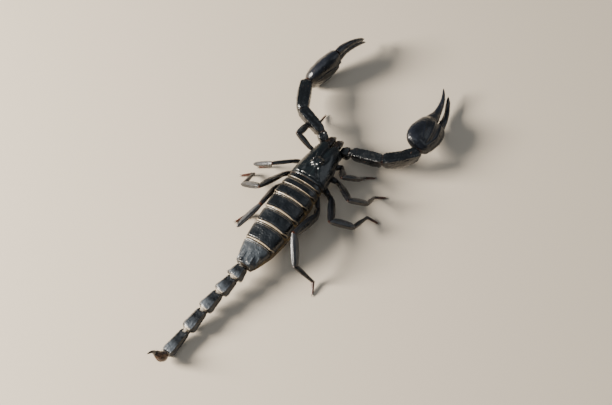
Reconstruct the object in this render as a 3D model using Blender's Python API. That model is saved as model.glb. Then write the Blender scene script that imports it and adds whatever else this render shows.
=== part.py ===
"""Asian forest scorpion, a still life-size model.

Millimetres are used while shaping and metres in the finished meshes.  The animal lies along
the Y axis with its head towards -Y, its tail towards +Y and its left side towards +X.  Its
feet and the end of its tail stand on small flats at z = 0.  Every limb is a chain of joints
that is lofted as one tube and parted at each joint by a thin slanted cut.
"""

import math
from collections import namedtuple

import bpy
import bmesh
from mathutils import Matrix, Vector

# ---------------------------------------------------------------- driving dimensions (mm)
MM = 0.001
GAP = 0.3                 # clearance between neighbouring pieces
PLATE = 0.8               # thickness of the carapace and the tergites
FLAT_BELOW = 0.25         # whatever reaches lower than this is flattened onto the floor
LEG_SIDES = 8             # sides of a leg section
ARM_SIDES = 10            # sides of a tail or pedipalp section
PLATE_SPANS = 14          # facets across a back plate
PLATE_INSET = 0.5         # how far the tergites' edges stand in from the soft flanks
COXA_ROOT = 0.35          # share of the way out to the leg at which its coxa begins
COXA_ROOT_Y = {"1": -12.0, "2": -8.2, "3": -4.4, "4": -1.0}

# Where the body bends: (y, x of the middle line).
MIDLINE = ((-24.0, 1.7), (-19.0, 1.3), (-8.0, 0.6), (2.0, 0.2), (10.0, 0.3), (24.0, -0.5),
           (31.0, -0.5), (37.0, -0.2), (43.0, -0.2))

# Carapace, from its front margin to its rear margin.
CARAPACE_FRONT = -18.6
CARAPACE_REAR = 0.4
CARAPACE_NOTCH = 1.5      # depth of the notch between the two front lobes
# share of length from the front: half-width, height of the side edge, height of the back
CARAPACE_SHAPE = ((0.0, 4.3, 7.4, 10.0), (0.08, 5.1, 7.0, 10.5), (0.3, 5.9, 6.8, 11.5),
                  (0.5, 6.6, 6.8, 12.3), (0.75, 7.3, 7.0, 12.7), (0.92, 7.4, 7.4, 12.6),
                  (1.0, 7.3, 7.8, 12.4))
EYE_STATION = 0.58        # share of the carapace's length at which the median eyes sit
EYE_RADIUS = 0.5
EYE_SPACING = 1.5

# Rear margins of the seven tergites; the first begins just behind the carapace.
TERGITE_FRONT = 0.7
TERGITE_REARS = (2.8, 6.4, 11.6, 18.4, 25.1, 32.5, 41.6)
# y: half-width, height of the plate's edge, height of the back, underside height
TRUNK_SHAPE = ((0.6, 7.4, 9.2, 12.6, 6.6), (7.0, 7.8, 9.2, 13.2, 5.9), (9.0, 7.9, 9.1, 13.4, 3.9),
               (17.0, 7.6, 9.0, 13.6, 3.4), (25.0, 7.3, 8.8, 13.1, 3.4), (32.0, 6.6, 8.4, 12.0, 3.6),
               (37.0, 5.3, 7.7, 10.8, 4.0), (41.8, 3.4, 7.0, 9.6, 4.5))

# Tail: joint places, then the half-width and half-height of each segment.
TAIL_JOINTS = ((0.0, 42.0, 7.0), (0.3, 47.2, 6.4), (1.4, 54.6, 5.5), (2.4, 63.0, 4.5),
               (3.0, 72.4, 3.5), (3.9, 83.4, 2.3))
TAIL_HALF_SIZES = ((2.85, 2.6), (2.6, 2.5), (2.5, 2.4), (2.35, 2.2), (2.05, 1.95))
# Telson: the bulb curls up behind the last segment, then the sting points back and up.
BULB_PATH = ((4.0, 84.0, 2.7), (3.9, 85.1, 3.4), (3.9, 86.2, 4.8), (4.6, 86.9, 6.5), (5.5, 87.3, 8.2))
BULB_RADII = (1.2, 1.85, 2.0, 1.6, 0.9)
STING_PATH = ((5.7, 87.5, 8.6), (5.9, 88.0, 9.8), (6.1, 88.9, 10.9), (6.3, 90.4, 11.7))
STING_RADII = (0.85, 0.6, 0.42, 0.25)

# Legs, from the coxa's outer end: trochanter end, knee, patella end, tarsus joint, toe.
LEG_PATHS = {
    "right_1": ((-6.3, -14.0, 5.6), (-7.6, -12.2, 6.8), (-10.7, -8.0, 11.0), (-15.1, -13.2, 6.5),
                (-14.9, -17.3, 1.7), (-17.8, -19.9, 0.45)),
    "right_2": ((-8.6, -7.6, 5.6), (-11.0, -6.4, 6.9), (-18.1, -0.7, 11.5), (-23.1, -6.0, 6.5),
                (-22.4, -12.0, 1.6), (-25.8, -14.9, 0.45)),
    "right_3": ((-9.0, -1.0, 5.5), (-11.2, 0.6, 6.9), (-17.3, 10.0, 11.0), (-24.1, 5.0, 5.9),
                (-24.9, -3.2, 1.7), (-29.2, -3.9, 0.45)),
    "right_4": ((-8.7, 6.0, 5.4), (-10.4, 9.6, 7.2), (-9.9, 23.2, 13.2), (-16.3, 32.0, 9.0),
                (-23.1, 30.6, 1.7), (-25.4, 34.6, 0.45)),
    "left_1": ((7.4, -14.6, 5.6), (9.2, -14.6, 6.6), (14.7, -15.7, 9.2), (15.5, -22.9, 5.0),
               (13.4, -28.8, 1.6), (13.7, -33.0, 0.45)),
    "left_2": ((8.6, -7.4, 5.6), (10.2, -5.3, 7.2), (14.7, 1.7, 11.0), (21.3, 2.7, 5.8),
               (18.4, -1.6, 1.6), (21.9, 0.9, 0.45)),
    "left_3": ((9.0, -1.0, 5.5), (10.3, 1.9, 7.2), (12.8, 13.0, 12.0), (20.3, 12.7, 6.2),
               (21.4, 5.0, 1.6), (25.3, 7.6, 0.45)),
    "left_4": ((8.7, 5.4, 5.4), (9.6, 8.3, 6.6), (9.3, 17.7, 8.2), (11.8, 26.8, 5.3),
               (12.9, 20.4, 1.5), (15.4, 25.3, 0.45)),
}
LEG_THICKNESS = {"1": 0.86, "2": 0.95, "3": 1.03, "4": 1.1}
# place along the chain (whole numbers are its joints): half-width, half-height
LEG_COXA_SHAPE = ((0.0, 1.25, 1.15), (0.6, 1.25, 1.25), (1.0, 1.0, 1.0))
FEMUR_SHAPE = ((0.0, 0.95, 1.0), (0.6, 1.1, 1.2), (1.0, 0.85, 1.05), (1.3, 1.0, 1.7),
               (1.7, 1.0, 1.75), (2.0, 0.85, 1.15))
PATELLA_SHAPE = ((2.0, 0.8, 1.1), (2.35, 1.0, 1.65), (2.75, 0.95, 1.5), (3.0, 0.7, 1.05))
TIBIA_SHAPE = ((3.0, 0.65, 0.85), (3.35, 0.75, 0.9), (3.8, 0.6, 0.65), (4.0, 0.55, 0.55),
               (4.5, 0.5, 0.5), (4.9, 0.35, 0.36), (5.0, 0.28, 0.3))

# Pedipalps: coxa end, femur start, elbow, wrist; then the hand's direction and roll.
PALP_PATHS = {
    "left": ((5.6, -19.8, 6.0), (8.2, -22.0, 7.2), (19.4, -25.4, 9.3), (22.9, -31.5, 8.6),
             (25.7, -37.7, 8.8)),
    "right": ((-3.0, -19.0, 6.0), (-6.0, -20.2, 7.5), (-18.9, -22.0, 11.2), (-24.4, -28.1, 8.9),
              (-27.4, -34.6, 7.8)),
}
PALP_TIPS = {"left": (19.4, -68.7, 5.2), "right": (-20.4, -67.0, 3.9)}
PALP_ROLL = {"left": -98.0, "right": 30.0}   # degrees by which the hand's inner edge is raised
PALP_COXA_SHAPE = ((0.0, 1.7, 1.3), (0.6, 1.8, 1.35), (1.0, 1.5, 1.4))
TROCHANTER_SHAPE = ((0.0, 1.5, 1.5), (0.5, 2.0, 1.9), (1.0, 1.65, 1.7))
PALP_FEMUR_SHAPE = ((1.0, 1.6, 1.65), (1.15, 2.1, 1.9), (1.5, 2.25, 2.05), (1.88, 2.35, 2.2),
                    (2.0, 1.9, 1.9))
PALP_PATELLA_SHAPE = ((2.0, 1.9, 1.9), (2.2, 2.6, 2.4), (2.7, 2.8, 2.6), (3.0, 2.85, 2.65),
                      (3.4, 2.8, 2.6), (3.8, 2.4, 2.3), (4.0, 1.6, 1.6))
# Palm stations: distance from the wrist, outer edge, inner edge, half-thickness
PALM_SHAPE = ((1.0, -1.4, 1.5, 1.3), (1.8, -2.7, 4.6, 2.2), (3.2, -3.9, 7.1, 2.9),
              (6.2, -5.4, 7.8, 3.5), (9.5, -6.5, 7.2, 3.7), (12.7, -6.9, 5.8, 3.6),
              (15.2, -6.5, 4.6, 3.1), (15.8, -2.1, 4.0, 2.3))
# Fixed finger, carrying on from the palm: distance, outer edge, inner edge, half-thickness
FIXED_FINGER_SHAPE = ((17.4, -2.1, 2.9, 1.6), (19.8, -2.2, 1.5, 1.3), (22.6, -2.2, 0.7, 1.1),
                      (26.0, -1.9, 0.3, 0.95), (29.2, -1.1, 0.4, 0.75), (31.6, 0.2, 1.1, 0.48),
                      (33.3, 1.4, 1.9, 0.25))
# Movable finger, on the hand's outer side
MOVABLE_FINGER_SHAPE = ((16.2, -6.1, -2.7, 1.5), (18.2, -6.1, -2.8, 1.45), (20.5, -6.1, -3.3, 1.25),
                        (23.3, -5.8, -3.7, 1.1), (26.3, -5.0, -3.1, 0.95), (29.2, -3.7, -1.9, 0.7),
                        (31.7, -2.0, -1.3, 0.25))

# Distance from the wrist: how far the hand stands towards its underside there
FINGER_STOOP = ((14.0, 0.0), (18.0, 0.9), (24.0, 0.7), (29.0, 0.1), (34.0, -0.6))

Finish = namedtuple("Finish", "color roughness metallic")
FINISHES = {
    "black_cuticle": Finish((0.012, 0.017, 0.024, 1.0), 0.22, 0.0),
    "leg_cuticle": Finish((0.018, 0.019, 0.022, 1.0), 0.3, 0.0),
    "telson_cuticle": Finish((0.11, 0.032, 0.014, 1.0), 0.25, 0.0),
    "sting_cuticle": Finish((0.02, 0.008, 0.006, 1.0), 0.2, 0.0),
    "jaw_cuticle": Finish((0.2, 0.085, 0.025, 1.0), 0.35, 0.0),
    "membrane": Finish((0.3, 0.19, 0.09, 1.0), 0.5, 0.0),
    "eye_lens": Finish((0.01, 0.01, 0.012, 1.0), 0.08, 0.0),
    "pectine": Finish((0.42, 0.24, 0.11, 1.0), 0.45, 0.0),
}

MATERIALS = {}


# ---------------------------------------------------------------- helpers
def clear_scene():
    """Remove whatever the scene holds."""
    for item in list(bpy.data.objects):
        bpy.data.objects.remove(item, do_unlink=True)


def material_for(finish_name):
    """Give the Principled material of a named finish, made once."""
    if finish_name not in MATERIALS:
        finish = FINISHES[finish_name]
        material = bpy.data.materials.new(finish_name)
        material.use_nodes = True
        shader = material.node_tree.nodes["Principled BSDF"]
        shader.inputs["Base Color"].default_value = finish.color
        shader.inputs["Roughness"].default_value = finish.roughness
        shader.inputs["Metallic"].default_value = finish.metallic
        MATERIALS[finish_name] = material
    return MATERIALS[finish_name]


def interpolate(table, key):
    """Read a table whose rows start with an ascending key, with straight lines between rows."""
    if key <= table[0][0]:
        return table[0][1:]
    for low, high in zip(table, table[1:]):
        if key <= high[0]:
            share = (key - low[0]) / (high[0] - low[0])
            return tuple(a + (b - a) * share for a, b in zip(low[1:], high[1:]))
    return table[-1][1:]


def midline_x(y):
    """X of the body's middle line at y."""
    return interpolate(MIDLINE, y)[0]


def add_mesh(name, mesh_maker, finish_name):
    """Make an object from a bmesh in millimetres, with outward faces and smooth shading."""
    bmesh.ops.recalc_face_normals(mesh_maker, faces=mesh_maker.faces)
    for vertex in mesh_maker.verts:
        if vertex.co.z < FLAT_BELOW:
            vertex.co.z = 0.0
    bmesh.ops.scale(mesh_maker, vec=(MM, MM, MM), verts=mesh_maker.verts)
    mesh = bpy.data.meshes.new(name)
    mesh_maker.to_mesh(mesh)
    mesh_maker.free()
    mesh.shade_smooth()
    mesh.set_sharp_from_angle(angle=math.radians(50.0))
    mesh.materials.append(material_for(finish_name))
    item = bpy.data.objects.new(name, mesh)
    bpy.context.scene.collection.objects.link(item)
    return item


def loft(rings):
    """Join closed rings of points into one closed bmesh, with a flat cap at each end."""
    maker = bmesh.new()
    rows = [[maker.verts.new(point) for point in ring] for ring in rings]
    for row, following in zip(rows, rows[1:]):
        for index, vertex in enumerate(row):
            after = (index + 1) % len(row)
            maker.faces.new((vertex, row[after], following[after], following[index]))
    maker.faces.new(rows[0])
    maker.faces.new(rows[-1])
    return maker


def shell(outer, inner):
    """Join two equal grids of points, outer and inner, into one closed plate."""
    maker = bmesh.new()
    top = [[maker.verts.new(point) for point in row] for row in outer]
    under = [[maker.verts.new(point) for point in row] for row in inner]
    last_row = len(top) - 1
    last_column = len(top[0]) - 1
    for i in range(last_row):
        for j in range(last_column):
            maker.faces.new((top[i][j], top[i][j + 1], top[i + 1][j + 1], top[i + 1][j]))
            maker.faces.new((under[i][j], under[i + 1][j], under[i + 1][j + 1], under[i][j + 1]))
        for j in (0, last_column):
            maker.faces.new((top[i][j], top[i + 1][j], under[i + 1][j], under[i][j]))
    for i in (0, last_row):
        for j in range(last_column):
            maker.faces.new((top[i][j], under[i][j], under[i][j + 1], top[i][j + 1]))
    return maker


def section_axes(direction, hinge=None):
    """Side and up directions of a section across a limb that runs in the given direction.

    Up is as near to +Z as the section allows.  A limb that bends about a hinge axis has its side
    along that axis instead, so that its broad faces lie in the plane in which it bends.
    """
    if hinge is not None:
        side = (hinge - direction * hinge.dot(direction)).normalized()
        return side, side.cross(direction)
    up = Vector((0.0, 0.0, 1.0)) - direction * direction.z
    if up.length < 0.05:
        up = Vector((0.0, 1.0, 0.0))
    up.normalize()
    return direction.cross(up).normalized(), up


def oval(center, side, up, half_width, half_height, sides=ARM_SIDES):
    """Ring of points around an oval whose flats face up and down."""
    points = []
    for index in range(sides):
        angle = 2.0 * math.pi * (index + 0.5) / sides
        across = side * (half_width * math.cos(angle))
        points.append(center + across + up * (half_height * math.sin(angle)))
    return points


def slanted_oval(center, direction, normal, axes, half_sizes, sides):
    """Oval section of a limb, slid along the limb onto the plane with the given normal."""
    ring = oval(center, *axes, *half_sizes, sides)
    slope = direction.dot(normal)
    return [point + direction * ((center - point).dot(normal) / slope) for point in ring]


def limb_rings(joints, shape, sides, thickness=1.0, hinge=None):
    """Rings of one length of a limb.

    joints is the whole limb's chain of joints.  shape gives rows of place, half-width and
    half-height, where a whole-number place is a joint.  Rings at a joint lie in the plane
    that halves its bend, and the first and last ring stand back from it by half the gap.
    hinge is the axis about which the limb bends, if its sections follow that.
    """
    chain = [Vector(joint) for joint in joints]
    directions = [(b - a).normalized() for a, b in zip(chain, chain[1:])]
    rings = []
    for row, (place, half_width, half_height) in enumerate(shape):
        lower = min(int(place), len(directions) - 1)
        center = chain[lower].lerp(chain[lower + 1], place - lower)
        direction = directions[lower]
        normal = direction
        at_joint = abs(place - round(place)) < 1e-6
        if at_joint and 0 < round(place) < len(directions):
            normal = (directions[lower - 1] + directions[lower]).normalized()
            if row == len(shape) - 1:
                direction = directions[lower - 1]
        if row == 0:
            center = center + normal * (GAP / 2.0)
        if row == len(shape) - 1:
            center = center - normal * (GAP / 2.0)
        half_sizes = (half_width * thickness, half_height * thickness)
        axes = section_axes(direction, hinge)
        rings.append(slanted_oval(center, direction, normal, axes, half_sizes, sides))
    return rings


# ---------------------------------------------------------------- body plates and trunk
def carapace_point(share, across, depth):
    """Point of the carapace, from front (share 0) to rear (1) and right (across -1) to left (1)."""
    half_width, edge, back = interpolate(CARAPACE_SHAPE, share)
    angle = across * math.pi / 2.0
    notch = CARAPACE_NOTCH * math.exp(-((across / 0.22) ** 2)) * (1.0 - share) ** 6
    corner = 1.6 * abs(across) ** 3 * (1.0 - share) ** 3
    y = CARAPACE_FRONT + (CARAPACE_REAR - CARAPACE_FRONT) * share + notch + corner
    furrow = 0.35 * math.exp(-((across / 0.12) ** 2)) * max(0.0, 1.0 - 2.4 * share)
    bump = 0.55 * math.exp(-((across / 0.16) ** 2) - ((share - EYE_STATION) / 0.09) ** 2)
    rise = (back - edge - depth) * math.cos(angle) ** 0.7 if abs(across) < 1.0 else 0.0
    x = midline_x(y) + (half_width - depth) * math.sin(angle)
    return Vector((x, y, edge + rise - furrow + (bump if depth == 0.0 else 0.0)))


def carapace_grid(depth):
    """Grid of carapace points at a depth below its outer face."""
    shares = (0.0, 0.06, 0.15, 0.28, 0.4, 0.5, EYE_STATION, 0.68, 0.92, 1.0)
    spans = range(PLATE_SPANS + 1)
    return [[carapace_point(share, -1.0 + 2.0 * j / PLATE_SPANS, depth) for j in spans]
            for share in shares]


def build_carapace():
    """Shield over the head end, with its notched front margin and eye bump."""
    add_mesh("carapace", shell(carapace_grid(0.0), carapace_grid(PLATE)), "black_cuticle")


def build_eyes():
    """Two median eyes, one each side of the eye bump."""
    for name, side in (("left", 1.0), ("right", -1.0)):
        ridge = carapace_point(EYE_STATION, 0.0, 0.0)
        maker = bmesh.new()
        bmesh.ops.create_uvsphere(maker, u_segments=10, v_segments=6, radius=EYE_RADIUS)
        place = ridge + Vector((side * EYE_SPACING, 0.0, 0.42))
        bmesh.ops.translate(maker, vec=place, verts=maker.verts)
        add_mesh(f"eye_median_{name}", maker, "eye_lens")


def trunk_point(y, across, depth):
    """Point of the back over the trunk, right edge (across -1) to left edge (1)."""
    half_width, edge, back, _ = interpolate(TRUNK_SHAPE, y)
    angle = across * math.pi / 2.0
    x = midline_x(y) + (half_width - PLATE_INSET - depth) * math.sin(angle)
    rise = (back - edge - depth) * math.cos(angle) ** 0.75 if abs(across) < 1.0 else 0.0
    return Vector((x, y, edge + rise))


def tergite_rows(index):
    """Y stations of one tergite, front to rear."""
    front = TERGITE_FRONT if index == 0 else TERGITE_REARS[index - 1] + GAP
    rear = TERGITE_REARS[index]
    return tuple(front + (rear - front) * share for share in (0.0, 0.12, 0.5, 0.88, 1.0))


def build_tergites():
    """Seven back plates, each a little proud at its rear margin."""
    spans = [-1.0 + 2.0 * j / PLATE_SPANS for j in range(PLATE_SPANS + 1)]
    for index in range(len(TERGITE_REARS)):
        stations = tergite_rows(index)
        lift = (-0.12, 0.0, 0.06, 0.18, 0.05)
        outer = [[trunk_point(y, a, -raised) for a in spans] for y, raised in zip(stations, lift)]
        inner = [[trunk_point(y, a, PLATE) for a in spans] for y in stations]
        add_mesh(f"tergite_{index + 1}", shell(outer, inner), "black_cuticle")


def trunk_ring(y):
    """Closed section of the soft trunk under the plates: back, bulging flanks and belly."""
    half_width, edge, _, belly = interpolate(TRUNK_SHAPE, y)
    depth = PLATE + GAP
    middle = midline_x(y)
    ring = [trunk_point(y, -1.0 + 2.0 * j / PLATE_SPANS, depth) for j in range(PLATE_SPANS + 1)]
    height = edge - belly
    flank = ((depth + PLATE_INSET - 0.3, GAP + 0.1), (0.2, 0.28 * height), (0.15, 0.5 * height),
             (1.1, 0.85 * height), (2.6, height))
    left = [Vector((middle + half_width - inset, y, edge - drop)) for inset, drop in flank]
    right = [Vector((middle - half_width + inset, y, edge - drop)) for inset, drop in flank]
    return ring + left + right[::-1]


def build_trunk():
    """Soft trunk with the belly, in one piece from the carapace to the tail."""
    stations = {TERGITE_FRONT, 9.0}
    for index in range(len(TERGITE_REARS)):
        stations.update(tergite_rows(index)[::2])
    add_mesh("mesosoma", loft([trunk_ring(y) for y in sorted(stations)]), "membrane")


# ---------------------------------------------------------------- head end underside
def prosoma_ring(share):
    """Closed section of the body under the carapace."""
    depth = PLATE + GAP
    spans = range(PLATE_SPANS + 1)
    top = [carapace_point(share, -1.0 + 2.0 * j / PLATE_SPANS, depth) for j in spans]
    belly = 4.2
    left, right = top[-1], top[0]
    under = [Vector((left.x - 0.3, left.y, left.z - 1.2)), Vector((left.x - 1.6, left.y, belly)),
             Vector((right.x + 1.6, right.y, belly)), Vector((right.x + 0.3, right.y, right.z - 1.2))]
    return top + under


def leg_coxa_root(leg):
    """Inner end of a leg's coxa, under the head end."""
    outer = Vector(LEG_PATHS[leg][0])
    middle = midline_x(outer.y)
    return Vector((middle + (outer.x - middle) * COXA_ROOT, COXA_ROOT_Y[leg[-1]], 4.7))


def palp_coxa_root(side):
    """Inner end of a pedipalp's coxa, beside the mouth."""
    outer = Vector(PALP_PATHS[side][0])
    middle = midline_x(outer.y)
    return Vector((middle + (outer.x - middle) * 0.6, outer.y + 6.5, 4.9))


def build_prosoma():
    """Underside of the head end: the core with the eight leg coxae and two palp coxae joined on."""
    shares = (0.03, 0.15, 0.28, 0.4, 0.5, 0.6, 0.75, 0.92, 0.985)
    body = add_mesh("prosoma", loft([prosoma_ring(share) for share in shares]), "black_cuticle")
    limbs = []
    for leg, chain in LEG_PATHS.items():
        joints = (leg_coxa_root(leg),) + chain[:2]
        limbs.append((f"coxa_{leg}", limb_rings(joints, LEG_COXA_SHAPE, LEG_SIDES)))
    for side, chain in PALP_PATHS.items():
        joints = (palp_coxa_root(side),) + chain[:2]
        limbs.append((f"coxa_palp_{side}", limb_rings(joints, PALP_COXA_SHAPE, ARM_SIDES)))
    for name, rings in limbs:
        coxa = add_mesh(name, loft(rings), "black_cuticle")
        coxa.hide_render = True
        coxa.display_type = "WIRE"
        join = body.modifiers.new(name, "BOOLEAN")
        join.operation = "UNION"
        join.object = coxa


def build_chelicerae():
    """Two short jaws in front of the carapace, each with its finger drawn out in front."""
    stations = ((-19.5, 1.2, 1.25, 7.5), (-20.1, 1.4, 1.5, 7.4), (-21.3, 1.35, 1.4, 7.0),
                (-22.3, 1.0, 1.05, 6.5), (-23.0, 0.5, 0.55, 6.1))
    for name, side in (("left", 1.0), ("right", -1.0)):
        rings = []
        for y, half_width, half_height, z in stations:
            center = Vector((midline_x(y) + side * 1.6, y, z))
            rings.append(oval(center, Vector((1, 0, 0)), Vector((0, 0, 1)), half_width, half_height))
        add_mesh(f"chelicera_{name}", loft(rings), "jaw_cuticle")


def build_pectines():
    """Two comb-like organs under the front of the trunk."""
    for name, side in (("left", 1.0), ("right", -1.0)):
        rings = []
        for share, half_width in ((0.0, 0.6), (0.2, 1.05), (0.8, 1.1), (1.0, 0.6)):
            x = midline_x(9.0) + side * (0.9 + 6.2 * share)
            center = Vector((x, 9.2 + 3.6 * share, 2.75 - 0.3 * share))
            rings.append(oval(center, Vector((0, 1, 0)), Vector((0, 0, 1)), half_width, 0.4, 8))
        add_mesh(f"pectine_{name}", loft(rings), "pectine")


# ---------------------------------------------------------------- limbs
def build_legs():
    """Eight legs of three lengths: femur with trochanter, patella, tibia with tarsus."""
    for leg, chain in LEG_PATHS.items():
        thickness = LEG_THICKNESS[leg[-1]]
        parts = (("femur", FEMUR_SHAPE), ("patella", PATELLA_SHAPE), ("tibia", TIBIA_SHAPE))
        joints = (leg_coxa_root(leg),) + chain
        hip, knee, ankle = (Vector(joint) for joint in chain[1:4])
        hinge = (knee - hip).cross(ankle - knee).normalized()
        for part, shape in parts:
            shifted = tuple((place + 1.0, width, height) for place, width, height in shape)
            rings = limb_rings(joints, shifted, LEG_SIDES, thickness, hinge)
            add_mesh(f"leg_{leg}_{part}", loft(rings), "leg_cuticle")


def hand_matrix(side):
    """Place of the hand: Y' runs from wrist to tips, X' to the lobed inner edge, Z' is its back."""
    wrist = Vector(PALP_PATHS[side][-1])
    forward = (Vector(PALP_TIPS[side]) - wrist).normalized()
    level_inner = Vector((0.0, 0.0, 1.0)).cross(forward)
    if side == "left":
        level_inner.negate()
    level_inner.normalize()
    back = level_inner.cross(forward)
    if back.z < 0.0:
        back.negate()
    roll = math.radians(PALP_ROLL[side])
    inner = level_inner * math.cos(roll) + back * math.sin(roll)
    back = back * math.cos(roll) - level_inner * math.sin(roll)
    rows = Matrix((inner, forward, back)).transposed().to_4x4()
    return Matrix.Translation(wrist) @ rows


def hand_ring(station, outer, inner, half_thickness, sides=12):
    """Section across the hand or a finger at a distance from the wrist."""
    center = Vector(((outer + inner) / 2.0, station, -interpolate(FINGER_STOOP, station)[0]))
    return oval(center, Vector((1, 0, 0)), Vector((0, 0, 1)), (inner - outer) / 2.0, half_thickness,
                sides)


def build_hand(side):
    """Palm with its fixed finger, and the movable finger beside it."""
    place = hand_matrix(side)
    pieces = ((f"palp_{side}_hand", PALM_SHAPE + FIXED_FINGER_SHAPE, "black_cuticle"),
              (f"palp_{side}_finger", MOVABLE_FINGER_SHAPE, "black_cuticle"))
    for name, shape, finish in pieces:
        rings = [[place @ point for point in hand_ring(*row)] for row in shape]
        add_mesh(name, loft(rings), finish)


def build_pedipalps():
    """Two pincer arms: trochanter, femur, patella, hand and finger."""
    parts = (("trochanter", TROCHANTER_SHAPE), ("femur", PALP_FEMUR_SHAPE),
             ("patella", PALP_PATELLA_SHAPE))
    for side, chain in PALP_PATHS.items():
        joints = (palp_coxa_root(side),) + chain + (PALP_TIPS[side],)
        for part, shape in parts:
            shifted = tuple((place + 1.0, width, height) for place, width, height in shape)
            rings = limb_rings(joints, shifted, ARM_SIDES)
            add_mesh(f"palp_{side}_{part}", loft(rings), "black_cuticle")
        build_hand(side)


def build_tail():
    """Five tail segments, each swelling a little before its joint."""
    swelling = ((0.0, 0.68), (0.12, 0.82), (0.5, 0.98), (0.85, 1.06), (1.0, 0.86))
    before = Vector(TAIL_JOINTS[0]) + Vector((0.0, -5.0, 0.6))
    after = Vector(BULB_PATH[1])
    joints = (before,) + TAIL_JOINTS + (after,)
    for index, (half_width, half_height) in enumerate(TAIL_HALF_SIZES):
        shape = [(index + 1.0 + share, half_width * scale, half_height * scale)
                 for share, scale in swelling]
        add_mesh(f"metasoma_{index + 1}", loft(limb_rings(joints, shape, ARM_SIDES)), "black_cuticle")


def curved_rings(path, radii):
    """Round rings along a bent path, square to it."""
    points = [Vector(point) for point in path]
    rings = []
    for index, (center, radius) in enumerate(zip(points, radii)):
        ahead = points[min(index + 1, len(points) - 1)]
        behind = points[max(index - 1, 0)]
        side, up = section_axes((ahead - behind).normalized())
        rings.append(oval(center, side, up, radius, radius))
    return rings


def build_telson():
    """Poison bulb and sting at the end of the tail."""
    add_mesh("telson_bulb", loft(curved_rings(BULB_PATH, BULB_RADII)), "telson_cuticle")
    add_mesh("telson_sting", loft(curved_rings(STING_PATH, STING_RADII)), "sting_cuticle")


def center_on_floor():
    """Move every mesh so that the model's box is centred over the origin."""
    bpy.context.view_layer.update()
    shown = [item for item in bpy.data.objects if not item.hide_render]
    corners = [vertex.co for item in shown for vertex in item.data.vertices]
    middle = [(min(c[axis] for c in corners) + max(c[axis] for c in corners)) / 2.0 for axis in (0, 1)]
    shift = Matrix.Translation((-middle[0], -middle[1], 0.0))
    for item in bpy.data.objects:
        item.data.transform(shift)


def main():
    """Build the whole animal."""
    clear_scene()
    build_carapace()
    build_eyes()
    build_tergites()
    build_trunk()
    build_prosoma()
    build_chelicerae()
    build_pectines()
    build_legs()
    build_pedipalps()
    build_tail()
    build_telson()
    center_on_floor()


main()
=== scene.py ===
"""Looks of a still, life-size Asian forest scorpion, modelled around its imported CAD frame.

Lengths in the class fields are millimetres; meshes are metres.  The animal lies along Y, head
towards -Y, its left side at +X, feet at z = 0.  Every shell piece starts as a merged copy of its
CAD node, which is refined with edit-mode operators and modifiers and then sculpted.
"""

from __future__ import annotations

import logging
import math
from dataclasses import dataclass, field
from enum import Enum
from typing import Callable, Sequence

import bpy
import numpy as np
from mathutils import Matrix, Vector


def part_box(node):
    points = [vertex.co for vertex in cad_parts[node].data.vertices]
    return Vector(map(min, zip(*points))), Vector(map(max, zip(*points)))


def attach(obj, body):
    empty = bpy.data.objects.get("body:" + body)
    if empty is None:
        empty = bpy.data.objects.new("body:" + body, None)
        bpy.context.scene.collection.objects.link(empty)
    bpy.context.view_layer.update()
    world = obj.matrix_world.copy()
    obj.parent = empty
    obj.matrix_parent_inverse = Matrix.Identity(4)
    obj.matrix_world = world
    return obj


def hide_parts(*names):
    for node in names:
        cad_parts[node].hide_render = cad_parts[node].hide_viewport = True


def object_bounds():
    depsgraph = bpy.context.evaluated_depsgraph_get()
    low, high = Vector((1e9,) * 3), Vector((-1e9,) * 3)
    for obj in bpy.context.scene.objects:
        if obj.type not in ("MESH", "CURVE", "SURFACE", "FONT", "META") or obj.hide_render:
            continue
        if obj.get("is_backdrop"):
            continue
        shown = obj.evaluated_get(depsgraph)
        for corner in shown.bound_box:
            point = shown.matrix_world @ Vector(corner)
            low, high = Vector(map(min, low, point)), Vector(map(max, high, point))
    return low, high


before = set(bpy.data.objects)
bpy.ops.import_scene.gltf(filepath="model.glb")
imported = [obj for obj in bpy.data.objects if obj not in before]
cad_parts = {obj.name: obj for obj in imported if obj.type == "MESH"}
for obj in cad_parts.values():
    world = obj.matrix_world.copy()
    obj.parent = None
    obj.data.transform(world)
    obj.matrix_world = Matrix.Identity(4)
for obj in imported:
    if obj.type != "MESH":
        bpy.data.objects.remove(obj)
CAD_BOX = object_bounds()

MM = 0.001
MERGE = 0.002 * MM
SHARP = math.radians(50.0)
UP = np.array((0.0, 0.0, 1.0))
SIDES = ("left", "right")
SIDE_SIGNS = {"left": 1.0, "right": -1.0}
LEG_NUMBERS = (1, 2, 3, 4)
TERGITES = 7
TAIL_SEGMENTS = 5
KNOB_ASIDE = 0.66
KNOB_SIZE = 0.36
KNOB_STRETCH = 1.7
LOG = logging.getLogger("scorpion")

Points = np.ndarray
Mask = Callable[[Points], np.ndarray]


# ---------------------------------------------------------------- small mathematics
def bell(values: np.ndarray, centre: float, width: float) -> np.ndarray:
    """Give a smooth bump of height 1 at a centre.

    Args:
        values: where the bump is wanted.
        centre: where it is highest.
        width: how far it reaches before it has faded to about a third.

    Returns:
        The bump's height for each value.
    """
    return np.exp(-(((values - centre) / width) ** 2))


def ramp(values: np.ndarray, low: float, high: float) -> np.ndarray:
    """Rise smoothly from 0 to 1.

    Args:
        values: where the rise is wanted.
        low: where it begins, which may be the larger of the two.
        high: where it ends.

    Returns:
        The height for each value.
    """
    share = np.clip((values - low) / (high - low), 0.0, 1.0)
    return share * share * (3.0 - 2.0 * share)


def node_points(name: str) -> Points:
    """Give the corner points of a CAD node.

    Args:
        name: the node's name.

    Returns:
        One row for each corner, in metres.
    """
    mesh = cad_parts[name].data
    points = np.empty(len(mesh.vertices) * 3)
    mesh.vertices.foreach_get("co", points)
    return np.unique(points.reshape(-1, 3).round(7), axis=0)


def node_centre(name: str) -> np.ndarray:
    """Give the middle of a CAD node's box."""
    low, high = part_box(name)
    return (np.array(low) + np.array(high)) / 2.0


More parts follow.
